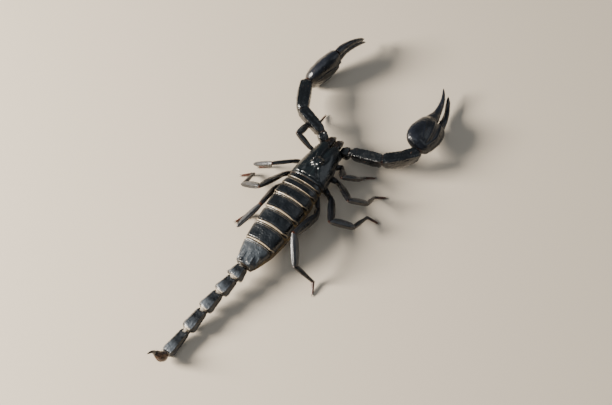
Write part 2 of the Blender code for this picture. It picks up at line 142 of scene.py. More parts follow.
def midline(y: np.ndarray) -> np.ndarray:
    """Give the body's middle line, read from the pieces that lie on it.

    Args:
        y: places along the body, in metres.

    Returns:
        The middle line's x at each of them.
    """
    eyes = (node_centre("eye_median_left") + node_centre("eye_median_right")) / 2.0
    jaws = (node_centre("chelicera_left") + node_centre("chelicera_right")) / 2.0
    plates = [node_centre(f"tergite_{index + 1}") for index in range(TERGITES)]
    spots = [jaws, eyes, *plates]
    return np.interp(y, [spot[1] for spot in spots], [spot[0] for spot in spots])


# ---------------------------------------------------------------- modelling by hand
def deselect_all() -> None:
    """Leave nothing selected, in object mode."""
    if bpy.context.object and bpy.context.object.mode != "OBJECT":
        bpy.ops.object.mode_set(mode="OBJECT")
    bpy.ops.object.select_all(action="DESELECT")


class Piece:
    """One mesh on the bench, shaped with Blender's own operators and with sculpted moves."""

    def __init__(self, item: bpy.types.Object) -> None:
        """Take an object that already lies in place."""
        self.item = item

    # ---- starting points
    @classmethod
    def from_node(cls, node: str, growth: float = 0.0, lip: float = 0.0) -> Piece:
        """Copy a CAD node, merge its loose triangles and make quads of them.

        Args:
            node: name of the CAD node.
            growth: how far the surface is moved out, in mm, which makes up for smoothing.
            lip: width in mm of the rounding along the sharp edges, or 0 for none.

        Returns:
            The merged copy, not yet smoothed.
        """
        item = bpy.data.objects.new(node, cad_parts[node].data.copy())
        item.name = f"shown_{node}"
        bpy.context.scene.collection.objects.link(item)
        item.data.materials.clear()
        piece = cls(item)
        piece.edit(("mesh.remove_doubles", {"threshold": MERGE}),
                   ("mesh.tris_convert_to_quads", {"face_threshold": SHARP,
                                                   "shape_threshold": math.radians(80.0)}))
        if growth:
            piece.edit(("transform.shrink_fatten", {"value": growth * MM}))
        if lip:
            piece.round_sharp_edges(lip)
        return piece

    @classmethod
    def primitive(cls, name: str, kind: str, **settings: object) -> Piece:
        """Add a primitive at its size and place.

        Args:
            name: the new object's name.
            kind: the operator's name in bpy.ops.mesh, without its "primitive_" and "_add".
            settings: what the operator takes.

        Returns:
            The new piece, with its place in its mesh.
        """
        deselect_all()
        getattr(bpy.ops.mesh, f"primitive_{kind}_add")(**settings)
        item = bpy.context.object
        item.name = name
        bpy.ops.object.transform_apply(location=True, rotation=True, scale=True)
        return cls(item)

    @classmethod
    def tube(cls, name: str, path: Sequence[Vector], radii: Sequence[float],
             sides: int = 10) -> Piece:
        """Draw a tapering tube by extruding a disc from station to station.

        Args:
            name: the new object's name.
            path: the tube's centre line, in metres.
            radii: the radius at each station, in metres.
            sides: how many sides the tube has.

        Returns:
            The closed tube.
        """
        start = path[1] - path[0]
        turn = start.to_track_quat("Z", "Y")
        piece = cls.primitive(name, "circle", vertices=sides, radius=radii[0], fill_type="NGON",
                              location=path[0], rotation=turn.to_euler())
        bpy.ops.object.mode_set(mode="EDIT")
        bpy.ops.mesh.select_all(action="SELECT")
        for index in range(1, len(path)):
            ahead = path[min(index + 1, len(path) - 1)] - path[index - 1]
            bend = start.rotation_difference(ahead)
            bpy.ops.mesh.extrude_region_move(
                TRANSFORM_OT_translate={"value": path[index] - path[index - 1]})
            ratio = radii[index] / radii[index - 1]
            bpy.ops.transform.resize(value=(ratio, ratio, ratio), center_override=path[index])
            if bend.angle > 0.001:
                turn_selected(bend.to_matrix(), path[index])
            start = ahead
        bpy.ops.object.mode_set(mode="OBJECT")
        return piece.face_outwards()

    @classmethod
    def joined(cls, name: str, pieces: Sequence[Piece]) -> Piece:
        """Join pieces into one object.

        Args:
            name: the object's new name.
            pieces: what is joined.

        Returns:
            The first piece, which now holds all of them.
        """
        deselect_all()
        for piece in pieces:
            piece.item.select_set(True)
        bpy.context.view_layer.objects.active = pieces[0].item
        if len(pieces) > 1:
            bpy.ops.object.join()
        pieces[0].item.name = name
        return pieces[0]

    # ---- operators and modifiers
    def activate(self) -> None:
        """Make this the only selected object, and the active one."""
        deselect_all()
        self.item.select_set(True)
        bpy.context.view_layer.objects.active = self.item

    def edit(self, *steps: tuple[str, dict]) -> Piece:
        """Run edit-mode operators on the whole mesh, one after another.

        Args:
            steps: pairs of an operator's name, such as "mesh.subdivide", and its settings.

        Returns:
            This piece.
        """
        self.activate()
        bpy.ops.object.mode_set(mode="EDIT")
        bpy.ops.mesh.select_all(action="SELECT")
        for name, settings in steps:
            module, operator = name.split(".")
            getattr(getattr(bpy.ops, module), operator)(**settings)
        bpy.ops.object.mode_set(mode="OBJECT")
        return self

    def round_sharp_edges(self, width: float) -> Piece:
        """Bevel every sharp edge.

        Args:
            width: the bevel's width in mm.

        Returns:
            This piece.
        """
        self.activate()
        bpy.ops.object.mode_set(mode="EDIT")
        bpy.ops.mesh.select_mode(type="EDGE")
        bpy.ops.mesh.select_all(action="DESELECT")
        bpy.ops.mesh.edges_select_sharp(sharpness=SHARP)
        bpy.ops.mesh.bevel(offset=width * MM, segments=2, profile=0.6, affect="EDGES")
        bpy.ops.object.mode_set(mode="OBJECT")
        return self

    def cut_loops(self, places: Sequence[np.ndarray], direction: np.ndarray) -> Piece:
        """Add edge loops around the piece.

        Args:
            places: a point on each loop.
            direction: what the loops are square to.

        Returns:
            This piece.
        """
        for place in places:
            self.edit(("mesh.bisect", {"plane_co": place, "plane_no": direction}))
        return self

    def modify(self, kind: str, **settings: object) -> Piece:
        """Add a modifier and apply it.

        Args:
            kind: the modifier's type.
            settings: its settings.

        Returns:
            This piece.
        """
        self.activate()
        modifier = self.item.modifiers.new(kind.lower(), kind)
        for key, value in settings.items():
            setattr(modifier, key, value)
        bpy.ops.object.modifier_apply(modifier=modifier.name)
        return self

    def smooth_out(self, levels: int) -> Piece:
        """Subdivide into a smooth surface."""
        return self.modify("SUBSURF", levels=levels, render_levels=levels)

    def roughen(self, kind: str, size: float, depth: float, mask: Mask | None = None) -> Piece:
        """Raise a fine relief from a procedural texture.

        Args:
            kind: the texture's type, "VORONOI" for round grains or "CLOUDS" for folds.
            size: size of its grains in mm.
            depth: height of the relief in mm.
            mask: share of the relief at each place, or None for all of it.

        Returns:
            This piece.
        """
        texture = bpy.data.textures.new(f"{self.item.name}_{kind.lower()}", kind)
        texture.noise_scale = size * MM
        height = -depth if kind == "VORONOI" else depth
        settings = {"texture": texture, "strength": height * MM, "mid_level": 0.5,
                    "texture_coords": "LOCAL"}
        if mask is not None:
            group = self.item.vertex_groups.new(name="relief")
            weights = np.clip(mask(self.points()), 0.0, 1.0).round(2)
            for weight in np.unique(weights[weights > 0.0]):
                group.add(np.flatnonzero(weights == weight).tolist(), float(weight), "REPLACE")
            settings["vertex_group"] = group.name
        self.modify("DISPLACE", **settings)
        self.item.vertex_groups.clear()
        return self

    # ---- sculpted moves
    def points(self) -> Points:
        """Give the vertices' places as rows, in metres."""
        vertices = self.item.data.vertices
        places = np.empty(len(vertices) * 3)
        vertices.foreach_get("co", places)
        return places.reshape(-1, 3)

    def set_points(self, places: Points) -> Piece:
        """Put the vertices at new places."""
        self.item.data.vertices.foreach_set("co", places.ravel())
        self.item.data.update()
        return self

    def normals(self) -> Points:
        """Give the vertices' normals as rows."""
        vertices = self.item.data.vertices
        rows = np.empty(len(vertices) * 3)
        vertices.foreach_get("normal", rows)
        return rows.reshape(-1, 3)

    def swell(self, height: float, mask: Mask) -> Piece:
        """Push the surface along its normals.

        Args:
            height: how far out it goes in mm, or in where that is negative.
            mask: share of the push at each place.

        Returns:
            This piece.
        """
        places = self.points()
        push = mask(places) * height * MM
        return self.set_points(places + self.normals() * push[:, None])

    def shift(self, move: Sequence[float], mask: Mask) -> Piece:
        """Move the surface one way.

        Args:
            move: the move in mm.
            mask: share of the move at each place.

        Returns:
            This piece.
        """
        places = self.points()
        return self.set_points(places + mask(places)[:, None] * np.array(move) * MM)

    def sharpen(self, tip: np.ndarray, reach: float, amount: float) -> Piece:
        """Draw the surface near a tip together, so that it ends in a point.

        Args:
            tip: the middle of the blunt end, in metres.
            reach: how far from the tip the narrowing starts, in mm.
            amount: share of the width that is lost at the tip.

        Returns:
            This piece.
        """
        places = self.points()
        away = np.linalg.norm(places - tip, axis=1)
        loss = amount * ramp(away, reach * MM, 0.0)[:, None]
        return self.set_points(places + (tip - places) * loss)

    def mark(self, name: str, mask: Mask) -> Piece:
        """Store a mask for the finish to read.

        Args:
            name: the attribute's name.
            mask: its value at each place.

        Returns:
            This piece.
        """
        attribute = self.item.data.attributes.new(name, "FLOAT", "POINT")
        attribute.data.foreach_set("value", np.clip(mask(self.points()), 0.0, 1.0).astype(np.float32))
        return self

    def dust(self, amount: float) -> Piece:
        """Mark the faces that look up, where a painted sheen makes the shell pale and dull.

        Args:
            amount: strength of the mark where the surface looks straight up.

        Returns:
            This piece.
        """
        up = self.normals()[:, 2]
        # painted sheen: paler the more the surface faces up
        return self.mark("dust", lambda p: amount * ramp(up, 0.2, 1.0))

    def face_outwards(self) -> Piece:
        """Turn every face of a closed shape outwards."""
        return self.edit(("mesh.normals_make_consistent", {"inside": False}))

    # ---- handing over
    def settle(self, name: str, finish: Finish, slot: str, *nodes: str) -> Piece:
        """Name, finish and fix the piece in the frame.

        Args:
            name: the piece's name.
            finish: what its surface is.
            slot: the name of a material slot; not used.
            nodes: the CAD nodes that it stands for.

        Returns:
            This piece.
        """
        places = self.points()
        if places[:, 2].min() < 0.0:
            places[:, 2] = np.maximum(places[:, 2], 0.0)
            self.set_points(places)
        self.activate()
        bpy.ops.object.shade_smooth()
        self.item.name = name
        self.item.data.materials.clear()
        self.item.data.materials.append(finish.material())
        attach(self.item, "root")
        if nodes:
            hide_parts(*nodes)
        LOG.info("%s: %d faces", name, len(self.item.data.polygons))
        return self


def turn_selected(turn: Matrix, pivot: Vector) -> None:
    """Turn the selected vertices of the mesh in edit mode.

    Args:
        turn: the rotation.
        pivot: the point about which they turn.
    """
    bpy.ops.object.mode_set(mode="OBJECT")
    for vertex in bpy.context.object.data.vertices:
        if vertex.select:
            vertex.co = pivot + turn @ (vertex.co - pivot)
    bpy.ops.object.mode_set(mode="EDIT")


# ---------------------------------------------------------------- effects shared by finishes
class Effect(Enum):
    """Shader node groups that several finishes use."""

    GRANULES = "granules"
    MOTTLE = "mottle"
    WRINKLES = "wrinkles"


class Graph:
    """A tree of shader nodes, added one by one with what feeds them."""

    def __init__(self, tree: bpy.types.NodeTree) -> None:
        """Take the tree that the nodes join."""
        self.tree = tree

    def add(self, kind: str, feeds: dict[str | int, object], **settings: object) -> bpy.types.Node:
        """Add a node.

        Args:
            kind: its type, without the "ShaderNode" in front.
            feeds: an output socket or a constant for each of its inputs that has one.
            settings: its own settings, such as its operation.

        Returns:
            The node.
        """
        node = self.tree.nodes.new(f"ShaderNode{kind}")
        for name, value in settings.items():
            setattr(node, name, value)
        self.feed(node, feeds)
        return node

    def feed(self, node: bpy.types.Node, feeds: dict[str | int, object]) -> None:
        """Link or set a node's inputs.

        Args:
            node: the node.
            feeds: an output socket or a constant by input.
        """
        for name, value in feeds.items():
            if isinstance(value, bpy.types.NodeSocket):
                self.tree.links.new(value, node.inputs[name])
            else:
                node.inputs[name].default_value = value


class EffectGroups:
    """Builds each shared node group once."""

    @staticmethod
    def get(effect: Effect) -> bpy.types.NodeTree:
        """Give the group of an effect, made on first use.

        Args:
            effect: which effect it is.

        Returns:
            The group.
        """
        found = bpy.data.node_groups.get(effect.value)
        if found:
            return found
        makers = {Effect.GRANULES: EffectGroups._granules, Effect.MOTTLE: EffectGroups._mottle,
                  Effect.WRINKLES: EffectGroups._wrinkles}
        return makers[effect]()

    @staticmethod
    def _new(effect: Effect, takes: dict[str, str],
             gives: dict[str, str]) -> tuple[Graph, bpy.types.NodeOutputs, bpy.types.Node]:
        """Start a group with named inputs and outputs.

        Args:
            effect: which effect it is.
            takes: socket type by input name.
            gives: socket type by output name.

        Returns:
            The group's graph, the sockets of what it is given, and the node that gives its results.
        """
        tree = bpy.data.node_groups.new(effect.value, "ShaderNodeTree")
        for name, kind in takes.items():
            tree.interface.new_socket(name, in_out="INPUT", socket_type=f"NodeSocket{kind}")
        for name, kind in gives.items():
            tree.interface.new_socket(name, in_out="OUTPUT", socket_type=f"NodeSocket{kind}")
        given = tree.nodes.new("NodeGroupInput").outputs
        return Graph(tree), given, tree.nodes.new("NodeGroupOutput")

    @staticmethod
    def _granules() -> bpy.types.NodeTree:
        """Make the rounded grains of a shell, dense in places and sparse in others.

        Returns:
            The group.
        """
        graph, given, result = EffectGroups._new(
            Effect.GRANULES, {"Vector": "Vector", "Scale": "Float"}, {"Height": "Float"})
        where = given["Vector"]
        cells = graph.add("TexVoronoi", {"Vector": where, "Scale": given["Scale"]}, feature="SMOOTH_F1")
        domes = graph.add("MapRange", {"Value": cells.outputs["Distance"], "From Min": 0.55,
                                       "From Max": 0.05})
        patches = graph.add("TexNoise", {"Vector": where, "Scale": 260.0})
        density = graph.add("MapRange", {"Value": patches.outputs["Fac"], "From Min": 0.38,
                                         "From Max": 0.62})
        grain = graph.add("Math", {0: domes.outputs["Result"], 1: density.outputs["Result"]},
                          operation="MULTIPLY")
        ripple = graph.add("TexNoise", {"Vector": where, "Scale": 1400.0})
        total = graph.add("Math", {0: ripple.outputs["Fac"], 1: 0.35, 2: grain.outputs["Value"]},
                          operation="MULTIPLY_ADD")
        graph.feed(result, {"Height": total.outputs["Value"]})
        return graph.tree

    @staticmethod
    def _mottle() -> bpy.types.NodeTree:
        """Make two colours drift into each other, with a painted sheen and a tint where masks ask for them.

        Returns:
            The group.
        """
        graph, given, result = EffectGroups._new(
            Effect.MOTTLE,
            {"Vector": "Vector", "Scale": "Float", "Deep": "Color", "Light": "Color",
             "Dust": "Color", "Sheen Mask": "Float", "Tint": "Color", "Tint Mask": "Float"},
            {"Color": "Color", "Dullness": "Float"})
        where = given["Vector"]
        drift = graph.add("TexNoise", {"Vector": where, "Scale": given["Scale"], "Detail": 4.0})
        contrast = graph.add("MapRange", {"Value": drift.outputs["Fac"], "From Min": 0.35, "From Max": 0.7})
        shell = graph.add("Mix", {"Factor": contrast.outputs["Result"], "A": given["Deep"],
                                  "B": given["Light"]}, data_type="RGBA")
        # painted sheen: a pale colour laid in patches where its mask asks for it
        patchy = graph.add("MapRange", {"Value": drift.outputs["Fac"], "From Min": 0.3, "From Max": 0.65,
                                        "To Min": 0.45, "To Max": 1.0})
        sheen_share = graph.add("Math", {0: patchy.outputs["Result"], 1: given["Sheen Mask"]},
                         operation="MULTIPLY", use_clamp=True)
        sheened = graph.add("Mix", {"Factor": sheen_share.outputs["Value"], "A": shell.outputs["Result"],
                                   "B": given["Dust"]}, data_type="RGBA")
        finer = graph.add("Math", {0: given["Scale"], 1: 2.6}, operation="MULTIPLY")
        grit = graph.add("TexNoise", {"Vector": where, "Scale": finer.outputs["Value"], "Detail": 5.0})
        ragged = graph.add("Math", {0: grit.outputs["Fac"], 1: 0.9, 2: given["Tint Mask"]},
                           operation="MULTIPLY_ADD")
        edge = graph.add("MapRange", {"Value": ragged.outputs["Value"], "From Min": 0.62, "From Max": 1.4})
        tinted = graph.add("Mix", {"Factor": edge.outputs["Result"], "A": sheened.outputs["Result"],
                                   "B": given["Tint"]}, data_type="RGBA")
        dull = graph.add("Math", {0: contrast.outputs["Result"], 1: sheen_share.outputs["Value"]},
                         operation="MAXIMUM")
        graph.feed(result, {"Color": tinted.outputs["Result"], "Dullness": dull.outputs["Value"]})
        return graph.tree

    @staticmethod
    def _wrinkles() -> bpy.types.NodeTree:
        """Make the fine folds of soft skin.

        Returns:
            The group.
        """
        graph, given, result = EffectGroups._new(
            Effect.WRINKLES, {"Vector": "Vector", "Scale": "Float"}, {"Height": "Float"})
        folds = graph.add("TexNoise", {"Vector": given["Vector"], "Scale": given["Scale"], "Detail": 5.0,
                                       "Distortion": 1.2})
        lines = graph.add("Math", {0: folds.outputs["Fac"], 1: 0.16}, operation="PINGPONG")
        graph.feed(result, {"Height": lines.outputs["Value"]})
        return graph.tree


# ---------------------------------------------------------------- finishes
@dataclass(frozen=True)
class Finish:
    """What one kind of surface looks like.  Colours are linear, sizes are mm."""

    name: str
    deep: tuple[float, float, float]
    light: tuple[float, float, float]
    tint: tuple[float, float, float] = (0.3, 0.2, 0.1)
    tint_by: str = ""
    # colour of the painted sheen on the faces that look up
    dust: tuple[float, float, float] = (0.075, 0.085, 0.1)
    roughness: tuple[float, float] = (0.26, 0.42)
    coat: float = 0.35
    relief: Effect = Effect.GRANULES
    relief_size: float = 0.32
    relief_height: float = 0.03
    drift_size: float = 4.0
    through: float = 0.0

    def material(self) -> bpy.types.Material:
        """Give the finish's material, made on first use.

        Returns:
            A material whose colour, roughness and relief change over the surface.
        """
        found = bpy.data.materials.get(self.name)
        if found:
            return found
        material = bpy.data.materials.new(self.name)
        material.use_nodes = True
        graph = Graph(material.node_tree)
        shader = material.node_tree.nodes["Principled BSDF"]
        where = graph.add("TexCoord", {}).outputs["Object"]
        colours = {name: (*getattr(self, name.lower()), 1.0) for name in ("Deep", "Light", "Dust", "Tint")}
        colour = graph.add("Group", {"Vector": where, "Scale": 1.0 / (self.drift_size * MM), **colours},
                           node_tree=EffectGroups.get(Effect.MOTTLE))
        relief = graph.add("Group", {"Vector": where, "Scale": 1.0 / (self.relief_size * MM)},
                           node_tree=EffectGroups.get(self.relief))
        gloss = graph.add("MapRange", {"Value": colour.outputs["Dullness"], "To Min": self.roughness[0],
                                       "To Max": self.roughness[1]})
        bump = graph.add("Bump", {"Height": relief.outputs["Height"], "Strength": 1.0,
                                  "Distance": self.relief_height * MM})
        for attribute, socket in (("dust", "Sheen Mask"), (self.tint_by, "Tint Mask")):
            if attribute:
                mask = graph.add("Attribute", {}, attribute_name=attribute)
                graph.feed(colour, {socket: mask.outputs["Fac"]})
        graph.feed(shader, {"Base Color": colour.outputs["Color"], "Roughness": gloss.outputs["Result"],
                            "Normal": bump.outputs["Normal"]})
        shader.inputs["Coat Weight"].default_value = self.coat
        shader.inputs["Coat Roughness"].default_value = 0.2
        shader.inputs["Subsurface Weight"].default_value = self.through
        shader.inputs["Subsurface Radius"].default_value = (0.6, 0.3, 0.15)
        shader.inputs["Subsurface Scale"].default_value = MM
        return material


class Finishes:
    """The finishes of the whole animal; the sheen colour of each is a painted sheen on faces that look up.
    """

    # plates: the margin tint is the rims' own pale colour, widened and brightened as a painted highlight
    PLATE = Finish("plate_shell", (0.0012, 0.0014, 0.0017), (0.003, 0.0042, 0.006), coat=0.3,
                   tint=(0.4, 0.32, 0.22), tint_by="margin", roughness=(0.2, 0.46),
                   dust=(0.014, 0.019, 0.025), relief_size=0.8, relief_height=0.14)
    # last plate: a brighter painted sheen that stands for the highlight on its rear slope
    LAST_PLATE = Finish("last_plate_shell", (0.002, 0.0024, 0.003), (0.009, 0.012, 0.016), coat=0.25,
                        tint=(0.4, 0.32, 0.22), tint_by="margin", roughness=(0.24, 0.48),
                        dust=(0.06, 0.072, 0.086), relief_size=0.8, relief_height=0.16, drift_size=2.0)
    HEAD = Finish("head_shell", (0.001, 0.0015, 0.002), (0.0025, 0.005, 0.0065), coat=0.45,
                  tint=(0.08, 0.05, 0.03), tint_by="margin", roughness=(0.22, 0.38),
                  dust=(0.008, 0.013, 0.016), relief_size=1.1, relief_height=0.05)
    ARM = Finish("arm_shell", (0.001, 0.001, 0.0013), (0.0028, 0.0035, 0.0045), coat=0.55,
                 tint=(0.03, 0.012, 0.007), tint_by="joint", roughness=(0.15, 0.38),
                 dust=(0.009, 0.012, 0.015), relief_size=0.85, relief_height=0.24)
    HAND = Finish("hand_shell", (0.0014, 0.0014, 0.002), (0.0045, 0.005, 0.0075), coat=0.35,
                  tint=(0.02, 0.01, 0.007), tint_by="joint", roughness=(0.2, 0.44),
                  dust=(0.013, 0.016, 0.026), relief_size=0.8, relief_height=0.09)
    # tail: its sheen colour is a painted highlight over the segments' rear halves, its pale tint a painted
    # highlight at their ends
    TAIL = Finish("tail_shell", (0.0018, 0.002, 0.0025), (0.006, 0.008, 0.011), coat=0.25,
                  tint=(0.5, 0.44, 0.36), tint_by="joint", roughness=(0.24, 0.44),
                  dust=(0.095, 0.11, 0.13), relief_size=0.8, relief_height=0.14, drift_size=1.6)
    LEG = Finish("leg_shell", (0.0016, 0.0013, 0.0013), (0.005, 0.0045, 0.005), coat=0.4,
                 tint=(0.07, 0.02, 0.009), tint_by="joint", roughness=(0.2, 0.4),
                 dust=(0.012, 0.013, 0.017), relief_size=0.8, relief_height=0.12, drift_size=2.5)
    # the leg finish with a strong painted sheen, which makes the patellae look lit
    SHEENED_SHANK = Finish("sheened_shank_shell", (0.0024, 0.0022, 0.0024), (0.008, 0.008, 0.009), coat=0.3,
                   tint=(0.07, 0.02, 0.009), tint_by="joint", roughness=(0.24, 0.44),
                   dust=(0.075, 0.08, 0.09), relief_size=0.8, relief_height=0.12, drift_size=2.0)
    UNDER = Finish("under_shell", (0.004, 0.003, 0.0025), (0.014, 0.01, 0.007),
                   tint=(0.1, 0.05, 0.025), tint_by="joint", roughness=(0.28, 0.42),
                   relief_size=0.4, relief_height=0.02)
    JAW = Finish("jaw_shell", (0.004, 0.002, 0.0012), (0.02, 0.01, 0.004), tint=(0.006, 0.003, 0.002),
                 tint_by="joint", roughness=(0.24, 0.38), relief_size=0.5, relief_height=0.03,
                 drift_size=0.8, through=0.1)
    BULB = Finish("bulb_shell", (0.03, 0.01, 0.003), (0.12, 0.048, 0.014), coat=0.2,
                  tint=(0.006, 0.003, 0.002), tint_by="joint", roughness=(0.26, 0.4),
                  relief_size=0.7, relief_height=0.03, drift_size=1.5, through=0.08)
    STING = Finish("sting_shell", (0.02, 0.006, 0.002), (0.07, 0.024, 0.008), coat=0.3,
                   tint=(0.008, 0.003, 0.002), tint_by="joint", roughness=(0.2, 0.32),
                   relief_size=0.5, relief_height=0.01, drift_size=1.2)
    TOOTH = Finish("tooth_shell", (0.005, 0.004, 0.004), (0.022, 0.011, 0.008),
                   roughness=(0.18, 0.3), relief_size=0.2, relief_height=0.006, drift_size=0.6)
    FLANK = Finish("flank_skin", (0.05, 0.032, 0.012), (0.2, 0.135, 0.055), coat=0.08,
                   tint=(0.03, 0.022, 0.016), tint_by="joint", roughness=(0.45, 0.6),
                   relief=Effect.WRINKLES, relief_size=0.9, relief_height=0.12, drift_size=1.6,
                   through=0.15)
    JOINT = Finish("joint_skin", (0.012, 0.005, 0.003), (0.11, 0.04, 0.018), coat=0.1,
                   roughness=(0.4, 0.55), relief=Effect.WRINKLES, relief_size=0.5,
                   relief_height=0.06, drift_size=0.8, through=0.15)
    # tail joint skin: pale, partly the membrane's own colour and partly a painted highlight
    TAIL_JOINT = Finish("tail_joint_skin", (0.25, 0.2, 0.15), (0.55, 0.48, 0.38), coat=0.1,
                        tint=(0.012, 0.008, 0.006), tint_by="joint",
                        roughness=(0.4, 0.55), relief=Effect.WRINKLES, relief_size=0.5,
                        relief_height=0.06, drift_size=0.8, through=0.2)
    COMB = Finish("comb_shell", (0.28, 0.15, 0.06), (0.5, 0.3, 0.14), roughness=(0.35, 0.5),
                  coat=0.1, relief_size=0.3, relief_height=0.02, drift_size=1.0, through=0.15)
    EYE = Finish("eye_lens_gloss", (0.002, 0.002, 0.003), (0.006, 0.006, 0.008),
                 roughness=(0.05, 0.09), coat=1.0, relief_size=0.5, relief_height=0.0005)
    BRISTLE = Finish("bristle", (0.03, 0.012, 0.006), (0.14, 0.06, 0.025), coat=0.0,
                     roughness=(0.35, 0.5), relief_size=0.2, relief_height=0.001)


# ---------------------------------------------------------------- head end
@dataclass
class Carapace:
    """Shield over the head end, with its furrows, eye hill, small side eyes and granular flanks."""

    furrow: float = 0.6
    side_furrow: float = 0.6
    hill: float = 0.95
    lobe: float = 0.55
    rear_groove: float = 0.25
    rear_rim: float = 0.14
    side_rim: float = 0.12
    grain: float = 0.13
    loops_before_rear: tuple[float, ...] = (0.4, 0.8, 1.3)
    width_stations: tuple[float, ...] = (0.0, 0.3, 0.75, 1.0)
    half_widths: tuple[float, ...] = (4.9, 6.1, 7.4, 7.4)
    side_eye: float = 0.25
    side_eye_step: float = 0.62
    side_eye_start: float = 2.3
    side_eye_height: float = 2.2
    side_eye_drop: float = 0.15
    side_eyes: int = 3

    def build(self) -> None:
        """Model the shield."""
        piece = Piece.from_node("carapace", growth=0.04, lip=0.14)
        low, high = (np.array(corner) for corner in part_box("carapace"))
        length = high[1] - low[1]
        rear_loops = [(0.0, high[1] - back * MM, 0.0) for back in self.loops_before_rear]
        piece.cut_loops(rear_loops, (0, 1, 0))
        piece.smooth_out(3)
        eye_share = (node_centre("eye_median_left")[1] - low[1]) / length

        def share(places: Points) -> np.ndarray:
            """Give each place's share of the way from front to rear."""
            return (places[:, 1] - low[1]) / length

        def across(places: Points) -> np.ndarray:
            """Give each place's distance from the middle line, 1 at the edge."""
            half = np.interp(share(places), self.width_stations, self.half_widths) * MM
            return np.abs(places[:, 0] - midline(places[:, 1])) / half

        def median(places: Points) -> np.ndarray:
            """Mask the furrow along the middle, before and behind the eye hill."""
            s = share(places)
            front = ramp(s, eye_share - 0.08, eye_share - 0.2)
            rear = ramp(s, eye_share + 0.1, eye_share + 0.16) * ramp(s, 0.97, 0.9) * 0.6
            return bell(across(places), 0.0, 0.07) * (front + rear)

        def oblique(places: Points) -> np.ndarray:
            """Mask the slanting furrows behind the eye hill and beside it."""
            s, a = share(places), across(places)
            behind = bell(a - 0.12 - (s - 0.66) * 1.5, 0.0, 0.075) * ramp(s, 0.63, 0.7)
            behind = behind * ramp(s, 0.95, 0.86)
            beside = bell(a - 0.3 - (eye_share - s) * 0.7, 0.0, 0.07) * ramp(s, 0.3, 0.4)
            return behind + 0.6 * beside * ramp(s, eye_share + 0.06, eye_share - 0.02)

        def lobes(places: Points) -> np.ndarray:
            """Mask the two front lobes and the two rear ones."""
            s, a = share(places), across(places)
            front = bell(s, 0.27, 0.15) * bell(a, 0.42, 0.26)
            return front + 0.7 * bell(s, 0.8, 0.09) * bell(a, 0.36, 0.15)

        def hill(places: Points) -> np.ndarray:
            """Mask the eye hill, cleft along its middle."""
            s, a = share(places), across(places)
            raised = np.exp(-((a / 0.3) ** 4) - ((s - eye_share) / 0.1) ** 4)
            return raised - 0.5 * bell(a, 0.0, 0.07) * bell(s, eye_share, 0.1)

        def top(mask: Mask) -> Mask:
            """Limit a mask to the upper face."""
            return lambda p: mask(p) * (piece.normals()[:, 2] > -0.1)

        piece.swell(self.lobe, top(lobes))
        piece.swell(-self.furrow, top(median))
        piece.swell(-self.side_furrow, top(oblique))
        piece.swell(self.hill, top(hill))
        piece.swell(-self.rear_groove, top(lambda p: bell(share(p), 0.93, 0.013)))
        piece.swell(self.rear_rim, top(lambda p: bell(share(p), 0.972, 0.014)))
        piece.swell(self.side_rim, top(lambda p: ramp(across(p), 0.86, 0.95)))
        piece.roughen("VORONOI", 0.45, self.grain, top(
            lambda p: (0.08 + ramp(across(p), 0.45, 0.85)) * ramp(share(p), 0.92, 0.86)))
        piece.mark("margin", lambda p: 0.75 * ramp(share(p), 0.985, 1.0))
        # painted sheen on the faces that look up
        piece.dust(0.5)
        piece.settle("carapace_shield", Finishes.HEAD, "black_cuticle", "carapace")
        self.set_side_eyes(piece)

    def set_side_eyes(self, shield: Piece) -> None:
        """Set a row of small eyes at each front corner.

        Args:
            shield: the finished shield.
        """
        places, normals = shield.points(), shield.normals()
        low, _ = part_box("carapace")
        for side, sign in SIDE_SIGNS.items():
            lenses = []
            for index in range(self.side_eyes):
                y = low.y + (self.side_eye_start + index * self.side_eye_step) * MM
                z = low.z + (self.side_eye_height - index * self.side_eye_drop) * MM
                away = np.hypot(places[:, 1] - y, places[:, 2] - z) + (normals[:, 0] * sign < 0.2)
                near = int(np.argmin(away))
                spot = Vector(places[near] - 0.08 * MM * normals[near])
                lenses.append(Piece.primitive("side_lens", "ico_sphere", subdivisions=3,
                                              radius=self.side_eye * MM, location=spot))
            row = Piece.joined(f"side_eyes_{side}", lenses)
            row.settle(f"side_eyes_{side}", Finishes.EYE, "eye_lens")


@dataclass
class Eyes:
    """Two median eyes on the eye hill, each in its ring."""

    ring: float = 0.2
    tilt: tuple[float, float] = (0.5, 0.85)

    def build(self) -> None:
        """Model both eyes."""
        for side, sign in SIDE_SIGNS.items():
            node = f"eye_median_{side}"
            low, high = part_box(node)
            radius = (high.z - low.z) / 2.0
            centre = (low + high) / 2.0
            lens = Piece.primitive(f"lens_{side}", "uv_sphere", segments=32, ring_count=20,
                                   radius=radius * 1.04, location=centre)
            lens.settle(f"eye_{side}", Finishes.EYE, "eye_lens", node)
            look = Vector((sign * self.tilt[0], 0.0, self.tilt[1])).normalized()
            ring = Piece.primitive(f"ring_{side}", "torus", location=centre - look * 0.2 * MM,
                                   rotation=look.to_track_quat("Z", "Y").to_euler(),
                                   major_radius=radius * 1.05, minor_radius=self.ring * MM,
                                   major_segments=32, minor_segments=12)
            ring.roughen("CLOUDS", 0.4, 0.08)
            ring.settle(f"eye_ring_{side}", Finishes.HEAD, "black_cuticle")


